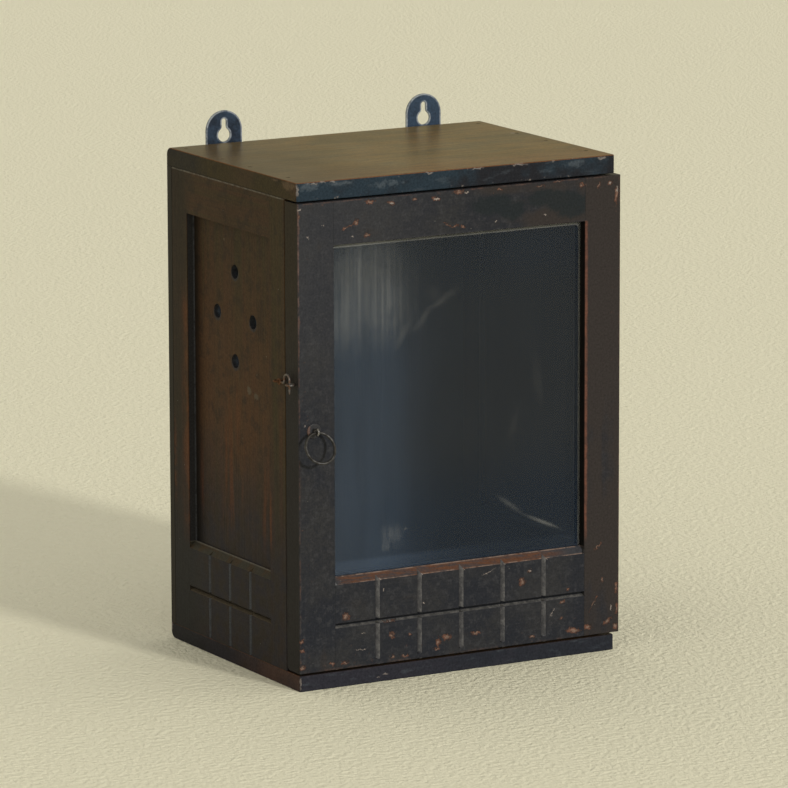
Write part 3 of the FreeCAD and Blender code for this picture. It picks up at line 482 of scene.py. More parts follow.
def board_varnish(name, node, seat, tones, end_tone, edge_tones, front_wear, end_wear, blemishes):
    """The varnish of one board, whose inner face is at the height of its seat on the frames."""
    board = Finish(name)
    low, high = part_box(node)
    x, y, z = board.axes
    aside = board.calc("ABSOLUTE", x)
    fibre, band = grain(board, ALONG_X)
    cloud = board.noise(13, 4)
    fine = board.noise(160, 4, 0.65)
    stain = board.streaks((16, 48, 48), 4, 0.6)
    figure = board.streaks((24, 170, 170), 4, 0.65)
    bright, olive, red, dark = tones

    board.colour = board.mix(board.fade(stain, 0.36, 0.62), olive, bright)
    board.coat(red, board.fade(y, *REDDER_FRONT), board.span(cloud, 0.2, 0.9))
    board.coat(dark, board.fade(fibre, 0.46, 0.7), 0.55)
    board.coat(dark, board.fade(band, 0.5, 0.72), 0.45)
    board.coat(dark, board.fade(figure, 0.52, 0.66), 0.45)
    board.coat(olive, board.fade(board.noise(42, 4, 0.6), 0.5, 0.72), 0.45)
    board.coat(dark, board.fade(x, *DARKER_LEFT), board.span(cloud, 0.45, 0.95))
    ends = board.mix(board.fade(board.noise(34, 3, 0.6), 0.25, 0.55), DUSK, end_tone)
    ends = board.over(ends, END_RED, board.fade(y, *END_FRONT), board.fade(cloud, 0.4, 0.58), 0.75)
    ends = board.over(ends, GRIME, board.fade(y, *END_BACK), board.span(fine, 0.3, 0.9))
    board.coat(ends, board.fade(aside, high.x - 0.002, high.x - 0.0006))
    within = board.times(
        board.fade(board.off(z, seat), 0.0012, 0.0004),
        board.fade(aside, inside_half + 0.0004, inside_half),
        board.fade(y, side_low.y, side_low.y + 0.0004),
    )
    board.coat(inside_paint(board, fibre, band), within)
    board.coat(dark, board.fade(y, high.y - 0.0016, high.y - 0.0006), board.span(cloud, 0.5, 0.9))

    # Painted sheen: the blue-black front edge is tinted bluer for the cool light it reflects, most
    # at the left.
    front = board.fade(y, low.y + 0.0018, low.y + 0.0006)
    tint = board.plus(board.noise(26, 4, 0.65), board.times(board.fade(x, *BLUER_LEFT), 0.22))
    edge_paint_and_sheen = board.mix(board.fade(tint, 0.42, 0.7), *edge_tones)
    smear = board.fade(board.streaks((45, 45, 160), 4, 0.6), 0.56, 0.72)
    edge_paint_and_sheen = board.over(edge_paint_and_sheen, EDGE_PALE, smear, 0.25)
    board.coat(edge_paint_and_sheen, front)

    corner = board.plus(board.edge(low, high), board.ragged(140, 0.003))
    above = board.fade(z, high.z - 0.0009, high.z - 0.0004)
    worn = board.times(board.fade(corner, 0.002, 0.0005), above, board.span(cloud, 0.4, 1))
    forward = board.fade(y, low.y + 0.004, low.y + 0.002)
    board.coat(ARRIS_WOOD, worn, board.span(forward, end_wear, front_wear))
    flakes = board.fade(board.noise(85, 4, 0.7), 0.58, 0.66)
    board.coat(CHIP_PALE, flakes, board.fade(corner, 0.0028, 0.001), front, front_wear, 0.55)
    shell = board.warp(220, 0.007)
    for spots, tone, share in blemishes:
        near = board.plus(board.marks(shell, spots), board.times(fine, 1.4))
        board.coat(tone, board.fade(near, 1.65, 1.1), share)
    dusted(board, 0.024, 0.6)

    rough = board.plus(board.span(cloud, 0.2, 0.34), board.times(fibre, 0.1))
    height = board.plus(board.times(fibre, 0.5), board.times(band, 0.4), cloud)
    return board.done(rough, height, 0.00014, Specular_IOR_Level=0.035)


TOP_DENTS = [
    spot(-44.5, -58.3, -6.8, 3, 2, 3), spot(151.7, -202.4, -6.8, 2.4, 2.4, 3),
    spot(60, -120, -6.8, 5, 1.2, 3),
]
TOP_SCUFFS = [
    spot(-163.5, -248, -13, 1.5, 3, 7), spot(-147, -249, -8.6, 10, 3, 1.5),
    spot(-128, -249, -8.4, 4, 3, 1.2), spot(151, -248, -9, 6, 3, 2),
    spot(151.5, -88.5, -6.8, 4, 3, 2), spot(20, -248, -8, 8, 3, 1.2),
    spot(-30, -248, -8, 6, 3, 1.0), spot(64, -248, -8.2, 9, 3, 1.3),
]
TOP_RUBS = [spot(-164, -232, -11, 3, 17, 4.6), spot(-164, -208, -9, 3, 8, 2)]
TOP_HAZE = [
    spot(-150, -249, -11, 16, 3, 5), spot(-120, -249, -10, 20, 3, 3),
    spot(120, -249, -12, 14, 3, 5), spot(-70, -249, -14, 18, 3, 4),
]
# Pale marks on the bottom board: scuffs, and at its back-left corner a painted highlight on the
# rounded arris.
LOW_SCUFFS_AND_GLINT = [
    spot(-163.5, -249, -459, 1.6, 2, 7), spot(-164, -1.5, -455, 3, 3, 5),
    spot(-77, -249.5, -460.5, 4, 3, 0.9), spot(-84, -249.5, -462, 2, 3, 0.7),
]
top_varnish = board_varnish(
    "top_board_varnish", "top_board", side_high.z, (HONEY, HONEY_OLIVE, HONEY_RED, HONEY_DARK),
    OLIVE, (EDGE_NAVY_AND_SHEEN, EDGE_BLUE_AND_SHEEN), 1.0, 0.8,
    [(TOP_DENTS, DUSK, 0.7), (TOP_RUBS, END_TAN, 0.65),
     (TOP_HAZE, EDGE_PALE, 0.5), (TOP_SCUFFS, CHIP_PALE, 0.6)],
)
bottom_varnish = board_varnish(
    "bottom_board_varnish", "bottom_board", side_low.z, (UMBER, OLIVE, UMBER, DUSK), LOW_GREY,
    (EDGE_SLATE_AND_SHEEN, EDGE_VIOLET_AND_SHEEN), 0.05, 0.35, [(LOW_SCUFFS_AND_GLINT, CHIP_PALE, 0.6)],
)
dress(top_varnish, "top_board")
dress(bottom_varnish, "bottom_board")


# Nails: cut iron nails sunk flush through the boards and the back panel into the frames.
# Dull dark iron with a little rust; on the top board the heads are stained over with the varnish.

IRON = (0.045, 0.04, 0.037)
RUST = (0.14, 0.055, 0.022)


def iron(name, plain, rust, metal, gloss):
    """Small iron or steel pieces of a plain tone, spotted with a second one."""
    finish = Finish(name)
    rusted = finish.fade(finish.noise(420, 4, 0.7), 0.48, 0.68)
    finish.colour = finish.mix(rusted, plain, rust)
    rough, height = finish.span(rusted, 0.45, 0.8), finish.noise(900, 4)
    return finish.done(rough, height, 0.0001, Metallic=metal, Specular_IOR_Level=gloss)


dress(iron("stained_nail", HONEY_DARK, DUSK, 0.0, 0.05), "top_board_nails")
dress(iron("nail_iron", IRON, RUST, 0.6, 0.4), "bottom_board_nails", "back_panel_nails")


# Hanging plates: two arched steel plates with keyholes, let into the back, held by two screws each.
# Blue-black steel, the blue a painted sheen, clouded, worn bright round the outline and the
# keyhole, the bright rims partly a painted highlight. The screws are slotted, of plain steel,
# countersunk flush.

STEEL_BLUE_AND_SHEEN = (0.038, 0.063, 0.105)
STEEL_DARK_AND_SHEEN = (0.019, 0.028, 0.045)
STEEL_WORN_AND_HIGHLIGHT = (0.3, 0.33, 0.37)
KEYHOLE_HEAD, KEYHOLE_SLOT, KEYHOLE_RISE = 0.0064, 0.0025, 0.0127
WORN_BRIGHT = (0.0017, 0.0008)

plate = Finish("hanger_plate_steel")
x, _, z = plate.axes
plate_low, plate_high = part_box("right_hanger_plate")
half = (plate_high.x - plate_low.x) / 2
across = plate.minus(plate.calc("ABSOLUTE", x), (plate_high.x + plate_low.x) / 2)
rise = plate.most(plate.minus(z, plate_high.z - half), 0.0)
rim = plate.minus(half, plate.slant(across, rise))
slot_rise = plate.minus(z, plate.least(plate.most(z, 0.0), KEYHOLE_RISE))
keyhole = plate.least(
    plate.minus(plate.slant(across, z), KEYHOLE_HEAD),
    plate.minus(plate.slant(across, slot_rise), KEYHOLE_SLOT),
)
bright = plate.most(plate.fade(rim, *WORN_BRIGHT), plate.fade(keyhole, *WORN_BRIGHT))
cloud = plate.plus(plate.noise(55, 4, 0.65), plate.times(plate.fade(x, -0.05, 0.05), 0.16))
# Painted sheen: the steel is tinted blue for the cool light it reflects; the bright rims below are
# wear and painted highlight.
plate.colour = plate.mix(plate.fade(cloud, 0.36, 0.66), STEEL_DARK_AND_SHEEN, STEEL_BLUE_AND_SHEEN)
patchy = plate.span(plate.fade(plate.noise(130, 3), 0.35, 0.55), 0.35, 1)
plate.coat(STEEL_WORN_AND_HIGHLIGHT, bright, patchy)
plate.tooth(0.6)
rough = plate.span(plate.noise(30, 3), 0.32, 0.55)
plate_steel = plate.done(rough, plate.plus(cloud, plate.noise(800, 3)), 0.00008, Metallic=0.75)
dress(plate_steel, "left_hanger_plate", "right_hanger_plate")

SCREW_STEEL = (0.22, 0.22, 0.225)
SCREW_DULL = (0.1, 0.098, 0.096)
SCREW_SIDES, FACES_ALONG = 32, 0.9
SCREW_HEAD, SCREW_SHANK, SCREW_RIM = 0.0024, 0.0012, 0.0003
SCREW_POINT, POINT_SHARE = 0.002, 0.15
SLOT_WIDE, SLOT_DEEP = 0.0008, 0.0007
FIRST_TURN, NEXT_TURN = 20, 37


def pick_end(screw, way):
    """Edit mode with only the end face of a screw picked, at its head (1) or at its point (-1)."""
    bpy.ops.mesh.select_all(action="DESELECT")
    bpy.ops.object.mode_set(mode="OBJECT")
    for face in screw.data.polygons:
        face.select = face.normal.z * way > FACES_ALONG
    bpy.ops.object.mode_set(mode="EDIT")


def slotted_screw(length):
    """One countersunk screw at the origin, its flat slotted head upwards."""
    bpy.ops.object.select_all(action="DESELECT")
    taper = SCREW_HEAD - SCREW_SHANK
    bpy.ops.mesh.primitive_cone_add(
        vertices=SCREW_SIDES, radius1=SCREW_SHANK, radius2=SCREW_HEAD, depth=taper,
        location=(0, 0, -taper / 2),
    )
    screw = bpy.context.object
    bpy.ops.object.transform_apply(location=True, rotation=False, scale=False)
    bpy.ops.object.mode_set(mode="EDIT")
    bpy.ops.mesh.select_mode(type="FACE")
    pick_end(screw, -1)
    for drop in (length - taper - SCREW_POINT, SCREW_POINT):
        bpy.ops.mesh.extrude_region_move(TRANSFORM_OT_translate={"value": (0, 0, -drop)})
    bpy.ops.transform.resize(value=(POINT_SHARE, POINT_SHARE, 1))
    pick_end(screw, 1)
    bpy.ops.mesh.inset(thickness=SCREW_RIM)
    bpy.ops.object.mode_set(mode="OBJECT")
    bpy.ops.mesh.primitive_cube_add(size=1)
    blade = bpy.context.object
    blade.scale = (SLOT_WIDE, SCREW_HEAD * 3, SLOT_DEEP * 2)
    bpy.ops.object.transform_apply(location=False, rotation=False, scale=True)
    slit = screw.modifiers.new("slot", "BOOLEAN")
    slit.object = blade
    slit.operation = "DIFFERENCE"
    slit.solver = "EXACT"
    bpy.ops.object.select_all(action="DESELECT")
    bpy.context.view_layer.objects.active = screw
    screw.select_set(True)
    bpy.ops.object.modifier_apply(modifier="slot")
    bpy.data.objects.remove(blade)
    return screw


screw_steel = iron("screw_steel", SCREW_STEEL, SCREW_DULL, 0.8, 0.4)


def set_screws(node, body, length, places, facing):
    """Copies of one screw at each place of a node, each slot left at its own angle."""
    pattern = slotted_screw(length)
    upright = Vector(facing).to_track_quat("Z", "X").to_matrix().to_4x4()
    for count, place in enumerate(places):
        screw = bpy.data.objects.new(f"{node}_{count + 1}", pattern.data.copy())
        bpy.context.scene.collection.objects.link(screw)
        turned = Matrix.Rotation(math.radians(NEXT_TURN * count + FIRST_TURN), 4, "Z")
        screw.data.transform(Matrix.Translation(place) @ upright @ turned)
        screw.data.materials.append(screw_steel)
        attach(screw, body)
        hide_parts(node)
    bpy.data.objects.remove(pattern)


HANGER_SCREW_LENGTH = 0.02
HANGER_SCREW_SPREAD = 0.011
HANGER_SCREW_HEIGHT = 0.011
hanger_places = []
for side in ("left", "right"):
    low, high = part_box(f"{side}_hanger_plate")
    for way in (-1, 1):
        aside = (low.x + high.x) / 2 + way * HANGER_SCREW_SPREAD
        hanger_places.append(Vector((aside, high.y, low.z + HANGER_SCREW_HEIGHT)))
set_screws("hanger_screws", "case", HANGER_SCREW_LENGTH, hanger_places, (0, 1, 0))


# Door frame: two through stiles and two tenoned rails, the lower one carved with a bevel and a grid
# of tiles. Black paint over brown, tinted navy as a painted sheen, brushed on, rubbed through to
# red-brown wood along the arrises and chipped; the edges and the back are brown stained wood. The
# grooves hold grey dust painted paler as painted light, one wall of each painted black as shade,
# and the right-hand reveal of the window is painted dark as shade.

door_low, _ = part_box("door_left_stile")
_, door_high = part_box("door_right_stile")
window_left, window_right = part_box("door_left_stile")[1].x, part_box("door_right_stile")[0].x
window_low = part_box("door_bottom_rail")[1].z
window_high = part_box("door_top_rail")[0].z
TILES = 6
tile_pitch = (window_right - window_left) / TILES

CHARCOAL = (0.028, 0.0276, 0.0284)
NAVY_PAINT_AND_SHEEN = (0.0183, 0.0198, 0.0248)
ASH = (0.044, 0.0438, 0.0468)
TEAL = (0.0155, 0.0196, 0.0212)
BROWN_GROUND = (0.0335, 0.0277, 0.0252)
REVEAL_SHADE = (0.0085, 0.0075, 0.007)
CHIP_WOOD = (0.135, 0.062, 0.04)
CHIP_BROWN = (0.06, 0.036, 0.028)
CHIP_HEART = (0.215, 0.15, 0.115)
ARRIS_PINK = (0.15, 0.096, 0.08)
ARRIS_GREY = (0.08, 0.076, 0.075)
ARRIS_BARE = (0.105, 0.06, 0.044)
INNER_RUB = (0.15, 0.062, 0.04)
BEVEL_WOOD = (0.104, 0.047, 0.026)
GROOVE_GREY_DUST_AND_LIGHT = (0.132, 0.129, 0.13)
GROOVE_PALE_DUST_AND_LIGHT = (0.22, 0.212, 0.206)
LEDGE_GREY = (0.064, 0.062, 0.058)
LEDGE_PALE = (0.128, 0.12, 0.108)
BLACK_JOINT_AND_SHADE = (0.012, 0.012, 0.0125)
STAIN_LOW = (0.0205, 0.0178, 0.0175)
STAIN_HIGH = (0.0295, 0.022, 0.0135)

# Where each tone comes in, from none to all of it.
PALER_LEFT, PALER_UP = (0.02, -0.12), (-0.26, -0.1)
BROWNER_RIGHT = (-0.06, 0.05)
SCATTER_LOW = (-0.42, -0.449)
STRIP_UP, STRIP_LOW, STRIP_TURN = (-0.2, -0.08), (-0.28, -0.33), (-0.33, -0.2)
STAIN_RISE = (-0.22, -0.08)
CHIP_DEEP = 3


def chip(x, z, wide, high, turn=0.0):
    """A mark on the face of the door."""
    return spot(x, door_low.y * 1000, z, wide, CHIP_DEEP, high, (0, turn, 0))


def chips_at(*rows):
    return [chip(*row) for row in rows]


def door_paint(name, along, chips, hearts, washes, browned):
    """The paint of one member of the door, with chips, their pale hearts and dark washes."""
    door = Finish(name)
    x, y, z = door.axes
    fibre, band = grain(door, along)
    cloud = door.noise(22, 4, 0.6)
    fine = door.noise(170, 4, 0.65)
    mottle = door.noise(230, 4, 0.7)
    crumb = door.noise(520, 4, 0.75)
    depth = door.minus(y, door_low.y)
    face = door.fade(depth, 0.0012, 0.0004)
    behind = door.fade(y, door_high.y - 0.0012, door_high.y - 0.0004)

    # Painted sheen: the black paint is tinted navy for the cool light it reflects.
    door.colour = door.mix(door.fade(cloud, 0.34, 0.66), NAVY_PAINT_AND_SHEEN, CHARCOAL)
    door.coat(ASH, door.fade(fibre, 0.45, 0.75), 0.28)
    door.coat(ASH, door.fade(mottle, 0.5, 0.66), 0.6)
    door.coat(NAVY_PAINT_AND_SHEEN, door.fade(mottle, 0.5, 0.34), 0.6)
    door.coat(ASH, door.fade(x, *PALER_LEFT), door.fade(z, *PALER_UP), door.span(fine, 0.15, 0.75))
    ground = door.plus(
        door.noise(8, 3, 0.55),
        door.times(door.fade(x, *BROWNER_RIGHT), browned),
        door.times(door.minus(band, 0.5), 0.5),
        door.times(door.minus(cloud, 0.5), 0.5),
    )
    door.coat(BROWN_GROUND, door.fade(ground, 0.6, 0.82))
    if washes:
        brushed = door.plus(door.marks(door.warp(75, 0.01), washes), door.times(fine, 0.5))
        door.coat(TEAL, door.fade(brushed, 1.5, 0.95), 0.85)

    middle = (window_left + window_right) / 2
    reach = window_right - middle
    carved = door.times(
        door.fade(depth, 0.00005, 0.0003, 0.0072, 0.0066),
        door.fade(z, window_low + 0.0006, window_low + 0.0002),
        door.fade(door.off(x, middle), reach + 0.0003, reach - 0.0003),
    )
    bevel_foot = door.minus(z, window_low - BEVEL)
    bevel = door.times(carved, door.fade(bevel_foot, -0.0003, 0.0004))
    column = door.minus(x, window_left)
    offset = door.calc("PINGPONG", column, tile_pitch / 2)
    taper = door.times(door.most(bevel_foot, 0.0), GROOVE_HALF / GROOVE_DEEP)
    in_column = door.fade(door.plus(offset, taper), *GROOVE_EDGE)
    worn_bevel = door.times(
        bevel,
        door.minus(1.0, in_column),
        door.fade(x, window_left, window_left + 0.012, window_right - 0.012, window_right - 0.045),
        door.span(door.fade(door.streaks((50, 420, 420), 4, 0.7), 0.4, 0.58), 0.2, 1),
    )
    door.coat(ASH, bevel)
    door.coat(BEVEL_WOOD, worn_bevel)
    lips = door.most(
        door.fade(bevel_foot, 0.0012, 0.0003),
        door.fade(z, window_low - 0.0011, window_low - 0.0003),
    )
    door.coat(CHIP_HEART, bevel, lips, door.fade(fine, 0.35, 0.6))
    # Painted light and shade in the upright grooves: grey dust made paler to outshine their shade,
    # and one wall of each painted black as shade.
    side_wall = door.minus(door.calc("FRACT", door.calc("DIVIDE", column, tile_pitch)), 0.5)
    grey = door.mix(door.fade(fine, 0.42, 0.62), GROOVE_GREY_DUST_AND_LIGHT, GROOVE_PALE_DUST_AND_LIGHT)
    grey = door.over(grey, BLACK_JOINT_AND_SHADE, door.fade(side_wall, 0.0, 0.01))
    door.coat(grey, carved, in_column, door.span(cloud, 0.75, 1))
    level = door.minus(z, door_low.z + LOWER_TILE)
    across = door.fade(door.calc("ABSOLUTE", level), *GROOVE_EDGE)
    ledge = door.mix(door.fade(fine, 0.4, 0.65), LEDGE_GREY, LEDGE_PALE)
    ledge = door.over(ledge, ASH, door.fade(level, -0.0016, -0.0024))
    ledge = door.over(ledge, NAVY_PAINT_AND_SHEEN, door.fade(level, -0.0006, -0.0001))
    door.coat(ledge, carved, across)

    joint = door.least(door.off(x, window_left), door.off(x, window_right))
    beyond = door.most(
        door.fade(z, window_high, window_high + 0.001),
        door.fade(z, window_low, window_low - 0.001),
    )
    door.coat(BLACK_JOINT_AND_SHADE, door.fade(joint, 0.0006, 0.0002), beyond, face, 0.4)

    fray = door.ragged(110, 0.005)
    corner = door.plus(door.edge(door_low, door_high), fray)
    worn = door.times(
        door.fade(corner, 0.0018, 0.0003),
        door.fade(door.noise(60, 4, 0.7), 0.42, 0.6),
        door.span(door.fade(z, door_low.z + 0.003, door_low.z + 0.008), 0.2, 1),
    )
    foot = door.times(
        door.fade(z, door_low.z + 0.0028, door_low.z + 0.0006),
        door.fade(door.plus(fine, cloud), 0.95, 1.2), 0.6,
    )
    scatter = door.times(
        door.fade(door.noise(150, 5, 0.75), 0.635, 0.67),
        door.most(door.fade(corner, 0.016, 0.004), door.fade(z, *SCATTER_LOW)),
    )
    rubbed = door.most(worn, scatter, foot)
    door.coat(ARRIS_BARE, rubbed, face, 0.6)
    beside = door.plus(door.minus(x, window_right), door.times(fray, 0.5))
    inner = door.times(
        door.fade(beside, 0.0034, 0.0014),
        door.fade(x, window_right - 0.001, window_right),
        door.fade(
            z, window_low + 0.002, window_low + 0.02, window_high + 0.001, window_high - 0.001),
        door.span(door.fade(fine, 0.35, 0.6), 0.45, 1),
    )
    door.coat(INNER_RUB, inner, face, 0.85)
    broken = door.fade(door.streaks((60, 60, 70), 4, 0.75), 0.44, 0.58)
    strip = door.times(
        door.fade(x, door_low.x + 0.0013, door_low.x + 0.0005),
        door.fade(depth, 0.0014, 0.0006),
        door.span(broken, 0.05, 0.75),
        door.plus(
            door.span(door.fade(z, *STRIP_UP), 0.12, 1), door.times(door.fade(z, *STRIP_LOW), 0.3)),
    )
    door.coat(door.mix(door.fade(z, *STRIP_TURN), ARRIS_GREY, ARRIS_PINK), strip)

    shell = door.warp(300, 0.008)
    near = door.plus(door.marks(shell, chips), door.times(crumb, 1.8))
    chipped = door.fade(near, 1.92, 1.68)
    bare = door.mix(door.fade(mottle, 0.42, 0.58), CHIP_BROWN, CHIP_WOOD)
    door.coat(bare, chipped, door.fade(depth, 0.0036, 0.0028), 0.9)
    door.coat(CHIP_HEART, door.fade(near, 1.42, 1.16), face, 0.8)
    white = door.plus(door.marks(shell, hearts), door.times(crumb, 0.6))
    door.coat(CHIP_PALE, door.fade(white, 1.25, 1.0), 0.9)

    # Painted shade on the right-hand reveal of the window.
    door.coat(
        REVEAL_SHADE, door.fade(depth, 0.0008, 0.0016),
        door.fade(door.off(x, window_right), 0.0008, 0.0003),
        door.fade(z, window_low - 0.001, window_low + 0.001),
    )
    stained = door.most(
        door.fade(x, door_low.x + 0.0012, door_low.x + 0.0004),
        door.fade(x, door_high.x - 0.0012, door_high.x - 0.0004),
        behind,
    )
    brown = door.mix(door.fade(z, *STAIN_RISE), STAIN_LOW, STAIN_HIGH)
    brown = door.over(brown, GRIME, door.fade(fibre, 0.5, 0.75), 0.5)
    door.coat(brown, door.fade(depth, 0.001, 0.0022), stained)
    door.coat(BLACK_JOINT_AND_SHADE, door.fade(joint, 0.0007, 0.0002), beyond, behind, 0.7)
    dusted(door, 0.019, 0.5)

    rough = door.plus(door.span(cloud, 0.36, 0.52), door.times(rubbed, 0.2))
    height = door.plus(door.times(fibre, 0.5), cloud, door.times(chipped, -1.2))
    return door.done(rough, height, 0.00022, Specular_IOR_Level=0.06)


LEFT_CHIPS = chips_at(
    (-163.4, -420.3, 3, 2), (-162.4, -428.7, 3.4, 1.7, 20), (-162.5, -444.2, 4, 2.6),
    (-131.5, -444.4, 4, 1.6), (-163, -36, 2, 2),
)
LEFT_HEARTS = chips_at(
    (-153.9, -55.9, 0.9, 1.2), (-138.8, -46.5, 0.6, 0.7), (-162.5, -30, 2.5, 1.4),
    (-158, -224, 0.8, 1),
)
RIGHT_CHIPS = chips_at(
    (136, -442, 5, 2.4, 15), (156.6, -439, 6, 2.2, -40), (165.3, -444.8, 4, 3),
    (151.1, -399.8, 1.5, 3.4), (146.6, -367.4, 6, 0.9, -40), (164.5, -43.5, 1.8, 10),
    (158, -32, 3.6, 2), (146.2, -33, 1.4, 4, 20), (141.5, -421.2, 0.7, 10, 30),
    (166, -408, 1.4, 7), (167, -428, 1.6, 6),
)
RIGHT_HEARTS = chips_at((160.9, -426.3, 0.9, 3.0), (165.5, -38, 0.9, 4), (158.5, -31.5, 1.6, 0.8))
TOP_CHIPS = chips_at(
    (-116.6, -50.2, 4.6, 1.1, -20), (-110, -48.2, 4, 1, -30), (-105.5, -46.5, 2.4, 3.8),
    (-91.2, -29, 5, 2.4), (-69.9, -31.7, 5, 2, 15), (-45.4, -30.1, 2.2, 1.7),
    (-23.8, -31.9, 5, 2, 15), (-12.6, -55.4, 4.6, 1, 25), (-4.3, -57.9, 5, 1, -10),
    (4, -59.5, 3.4, 1, 35), (-94.4, -58.3, 3.6, 2), (128.2, -31.6, 3, 2.4),
    (42.3, -28.2, 3.4, 1), (84.1, -28.9, 4.6, 1), (102.9, -26.2, 6, 1), (0, -27.5, 7, 1.8),
)
TOP_HEARTS = chips_at(
    (-69.5, -32.4, 2.6, 1.0, 15), (-23.2, -31.7, 3.2, 1.0, 15), (38.2, -56.9, 0.9, 0.9),
    (89.4, -55.7, 1.1, 1.1), (-109.6, -58.8, 1.6, 0.9), (8, -28.5, 2.4, 0.8),
)
TOP_WASHES = chips_at(
    (36, -42, 24, 9), (55, -49, 15, 8), (92, -41, 22, 8), (112, -45, 26, 9),
    (118, -53, 17, 8), (139, -45, 11, 9),
)
LOW_CHIPS = chips_at(
    (-117.4, -402.9, 4.6, 4.4), (-70.2, -425.1, 3.2, 3.6), (-51.6, -426.4, 1.8, 1.8),
    (-22.5, -437.3, 3.4, 4.2), (-13.1, -433.8, 5.4, 3.2), (-23.5, -443.6, 3.4, 1.6),
    (65.8, -391.8, 3.8, 4.8), (74.2, -382.5, 2.6, 1.2), (17.3, -433.7, 6, 1.7),
    (108.3, -415.5, 3.4, 1.8, -20), (107.3, -430.4, 2, 2), (120.5, -443.5, 8.5, 2.8, 10),
    (114.7, -404, 1.8, 1.8), (-118.6, -445, 4, 1.7), (-69.2, -444.6, 1.8, 2.2),
    (-56.8, -445.6, 5.5, 1.2), (76.4, -444, 4, 1.3), (-72.2, -411.3, 9, 1.5),
)
TILE_TIPS = [
    chip((window_left + tile_pitch * count) * 1000 + 3.0, window_low * 1000 - 6.4, 1.3, 0.9, 30)
    for count in range(1, TILES)
]
LOW_HEARTS = TILE_TIPS + chips_at(
    (-102.2, -435, 7, 0.45, 4), (-100, -419.6, 2.8, 0.5, 15), (-78.3, -382.6, 0.9, 1.3),
    (-37, -398.5, 1, 1), (75, -382.2, 1.4, 0.8), (98, -424, 0.4, 5, 30),
    (-72, -411.2, 4, 0.8), (30, -379, 9, 0.3, -18),
)
DOOR_PAINTS = {
    "door_left_stile": ("door_left_paint", ALONG_Z, LEFT_CHIPS, LEFT_HEARTS, [], 0.0),
    "door_right_stile": ("door_right_paint", ALONG_Z, RIGHT_CHIPS, RIGHT_HEARTS, [], 0.34),
    "door_top_rail": ("door_top_paint", ALONG_X, TOP_CHIPS, TOP_HEARTS, TOP_WASHES, 0.22),
    "door_bottom_rail": ("door_low_paint", ALONG_X, LOW_CHIPS, LOW_HEARTS, [], 0.0),
}
for member, paint in DOOR_PAINTS.items():
    dress(door_paint(*paint), member)


# Glass and beads: one pane of thin window glass in the rebate of the door, held by four mitred
# wooden beads. The pane is hazy with old wiping streaks, grey above and blue below, the haze partly
# a painted reflection, with dust left in its corners and along its lower edge and a pale diagonal
# streak of painted light for the lit ledge behind it; the beads are dark stained wood.

FILM_GREY_DUST_AND_SHEEN = (0.475, 0.457, 0.395)
FILM_BLUE_DUST_AND_SHEEN = (0.27, 0.39, 0.58)
GLASS_TINT = (0.7, 0.8, 0.86)
WHITE = (1, 1, 1)
MIRROR_ROUGH = 0.03
GLEAM_IOR = 1.22
WIPE_ROUND, WIPE_SIDE, WIPE_TOP = 0.005, 0.0012, 0.0034
SMEAR_DEEP = 5

# Where each film comes in, from none to all of it.
VEIL_LEFT, VEIL_DOWN = (0.0, -0.1), (-0.1, -0.17)
NOTCH_RIGHT, NOTCH_DOWN = (-0.07, -0.064), (-0.337, -0.345)
PATCH_ACROSS = (-0.0765, -0.074, -0.052, -0.06)
PATCH_UP = (-0.3505, -0.347, -0.322, -0.334)
LEDGE_STREAK_RIGHT, LEDGE_STREAK_STOP = (0.062, 0.108), (0.1148, 0.1132)
LOWER_LEFT = (0.05, -0.08)
DEEP_DOWN, DEEP_RIGHT = (-0.25, -0.33), (-0.14, -0.04)
HIGH_UP, HIGH_RIGHT = (-0.14, -0.08), (-0.04, 0.01)

pane = Finish("door_glass_haze_and_sheen")
x, y, z = pane.axes
pane_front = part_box("door_glass")[0].y
outer = pane.fade(y, pane_front + 0.0008, pane_front + 0.0003)
wiped = pane.streaks((420, 10, 7), 4, 0.6)
broad = pane.fade(pane.streaks((70, 10, 9), 3, 0.5), 0.3, 0.7)
bristles = pane.streaks((900, 10, 60), 4, 0.7)
cloudy = pane.noise(14, 3)
smudge = pane.warp(45, 0.012)


def smear(where, start, end, *rows):
    """How strong some smears on the glass are, from none at the start to all at the end."""
    wipes = [
        spot(x, pane_front * 1000, z, wide, SMEAR_DEEP, high, (0, turn, 0))
        for x, z, wide, high, turn in rows
    ]
    return pane.fade(pane.marks(where, wipes), start, end)


bloom = pane.times(
    smear(
        pane.warp(20, 0.02), 1.25, 0.25,
        (-92, -108, 50, 52, 0), (-108, -128, 30, 40, 0), (-74, -122, 34, 42, 0),
    ),
    pane.span(pane.fade(wiped, 0.38, 0.62), 0.55, 1.1),
    pane.span(broad, 0.65, 1),
)
veil = pane.times(
    pane.fade(x, *VEIL_LEFT), pane.span(broad, 0.7, 1), pane.span(pane.fade(z, *VEIL_DOWN), 0.5, 1),
)
arc = smear(
    smudge, 1.3, 0.2, (-55, -155, 17, 4, -54), (-33, -140, 18, 4, -43), (-12, -126, 20, 4, -30))
faint = smear(
    smudge, 1.3, 0.2, (61, -248, 4, 22, 18), (88, -210, 5, 26, -8), (-20, -118, 8, 10, -40))
notch = pane.times(pane.fade(x, *NOTCH_RIGHT), pane.fade(z, *NOTCH_DOWN), 0.7)
patch = pane.times(
    pane.fade(x, *PATCH_ACROSS), pane.fade(z, *PATCH_UP),
    pane.fade(bristles, 0.36, 0.66), pane.minus(1.0, notch),
)
patch = pane.plus(patch, smear(pane.place, 1.0, 0.2, (-51, -331, 2.6, 1.8, -20)))
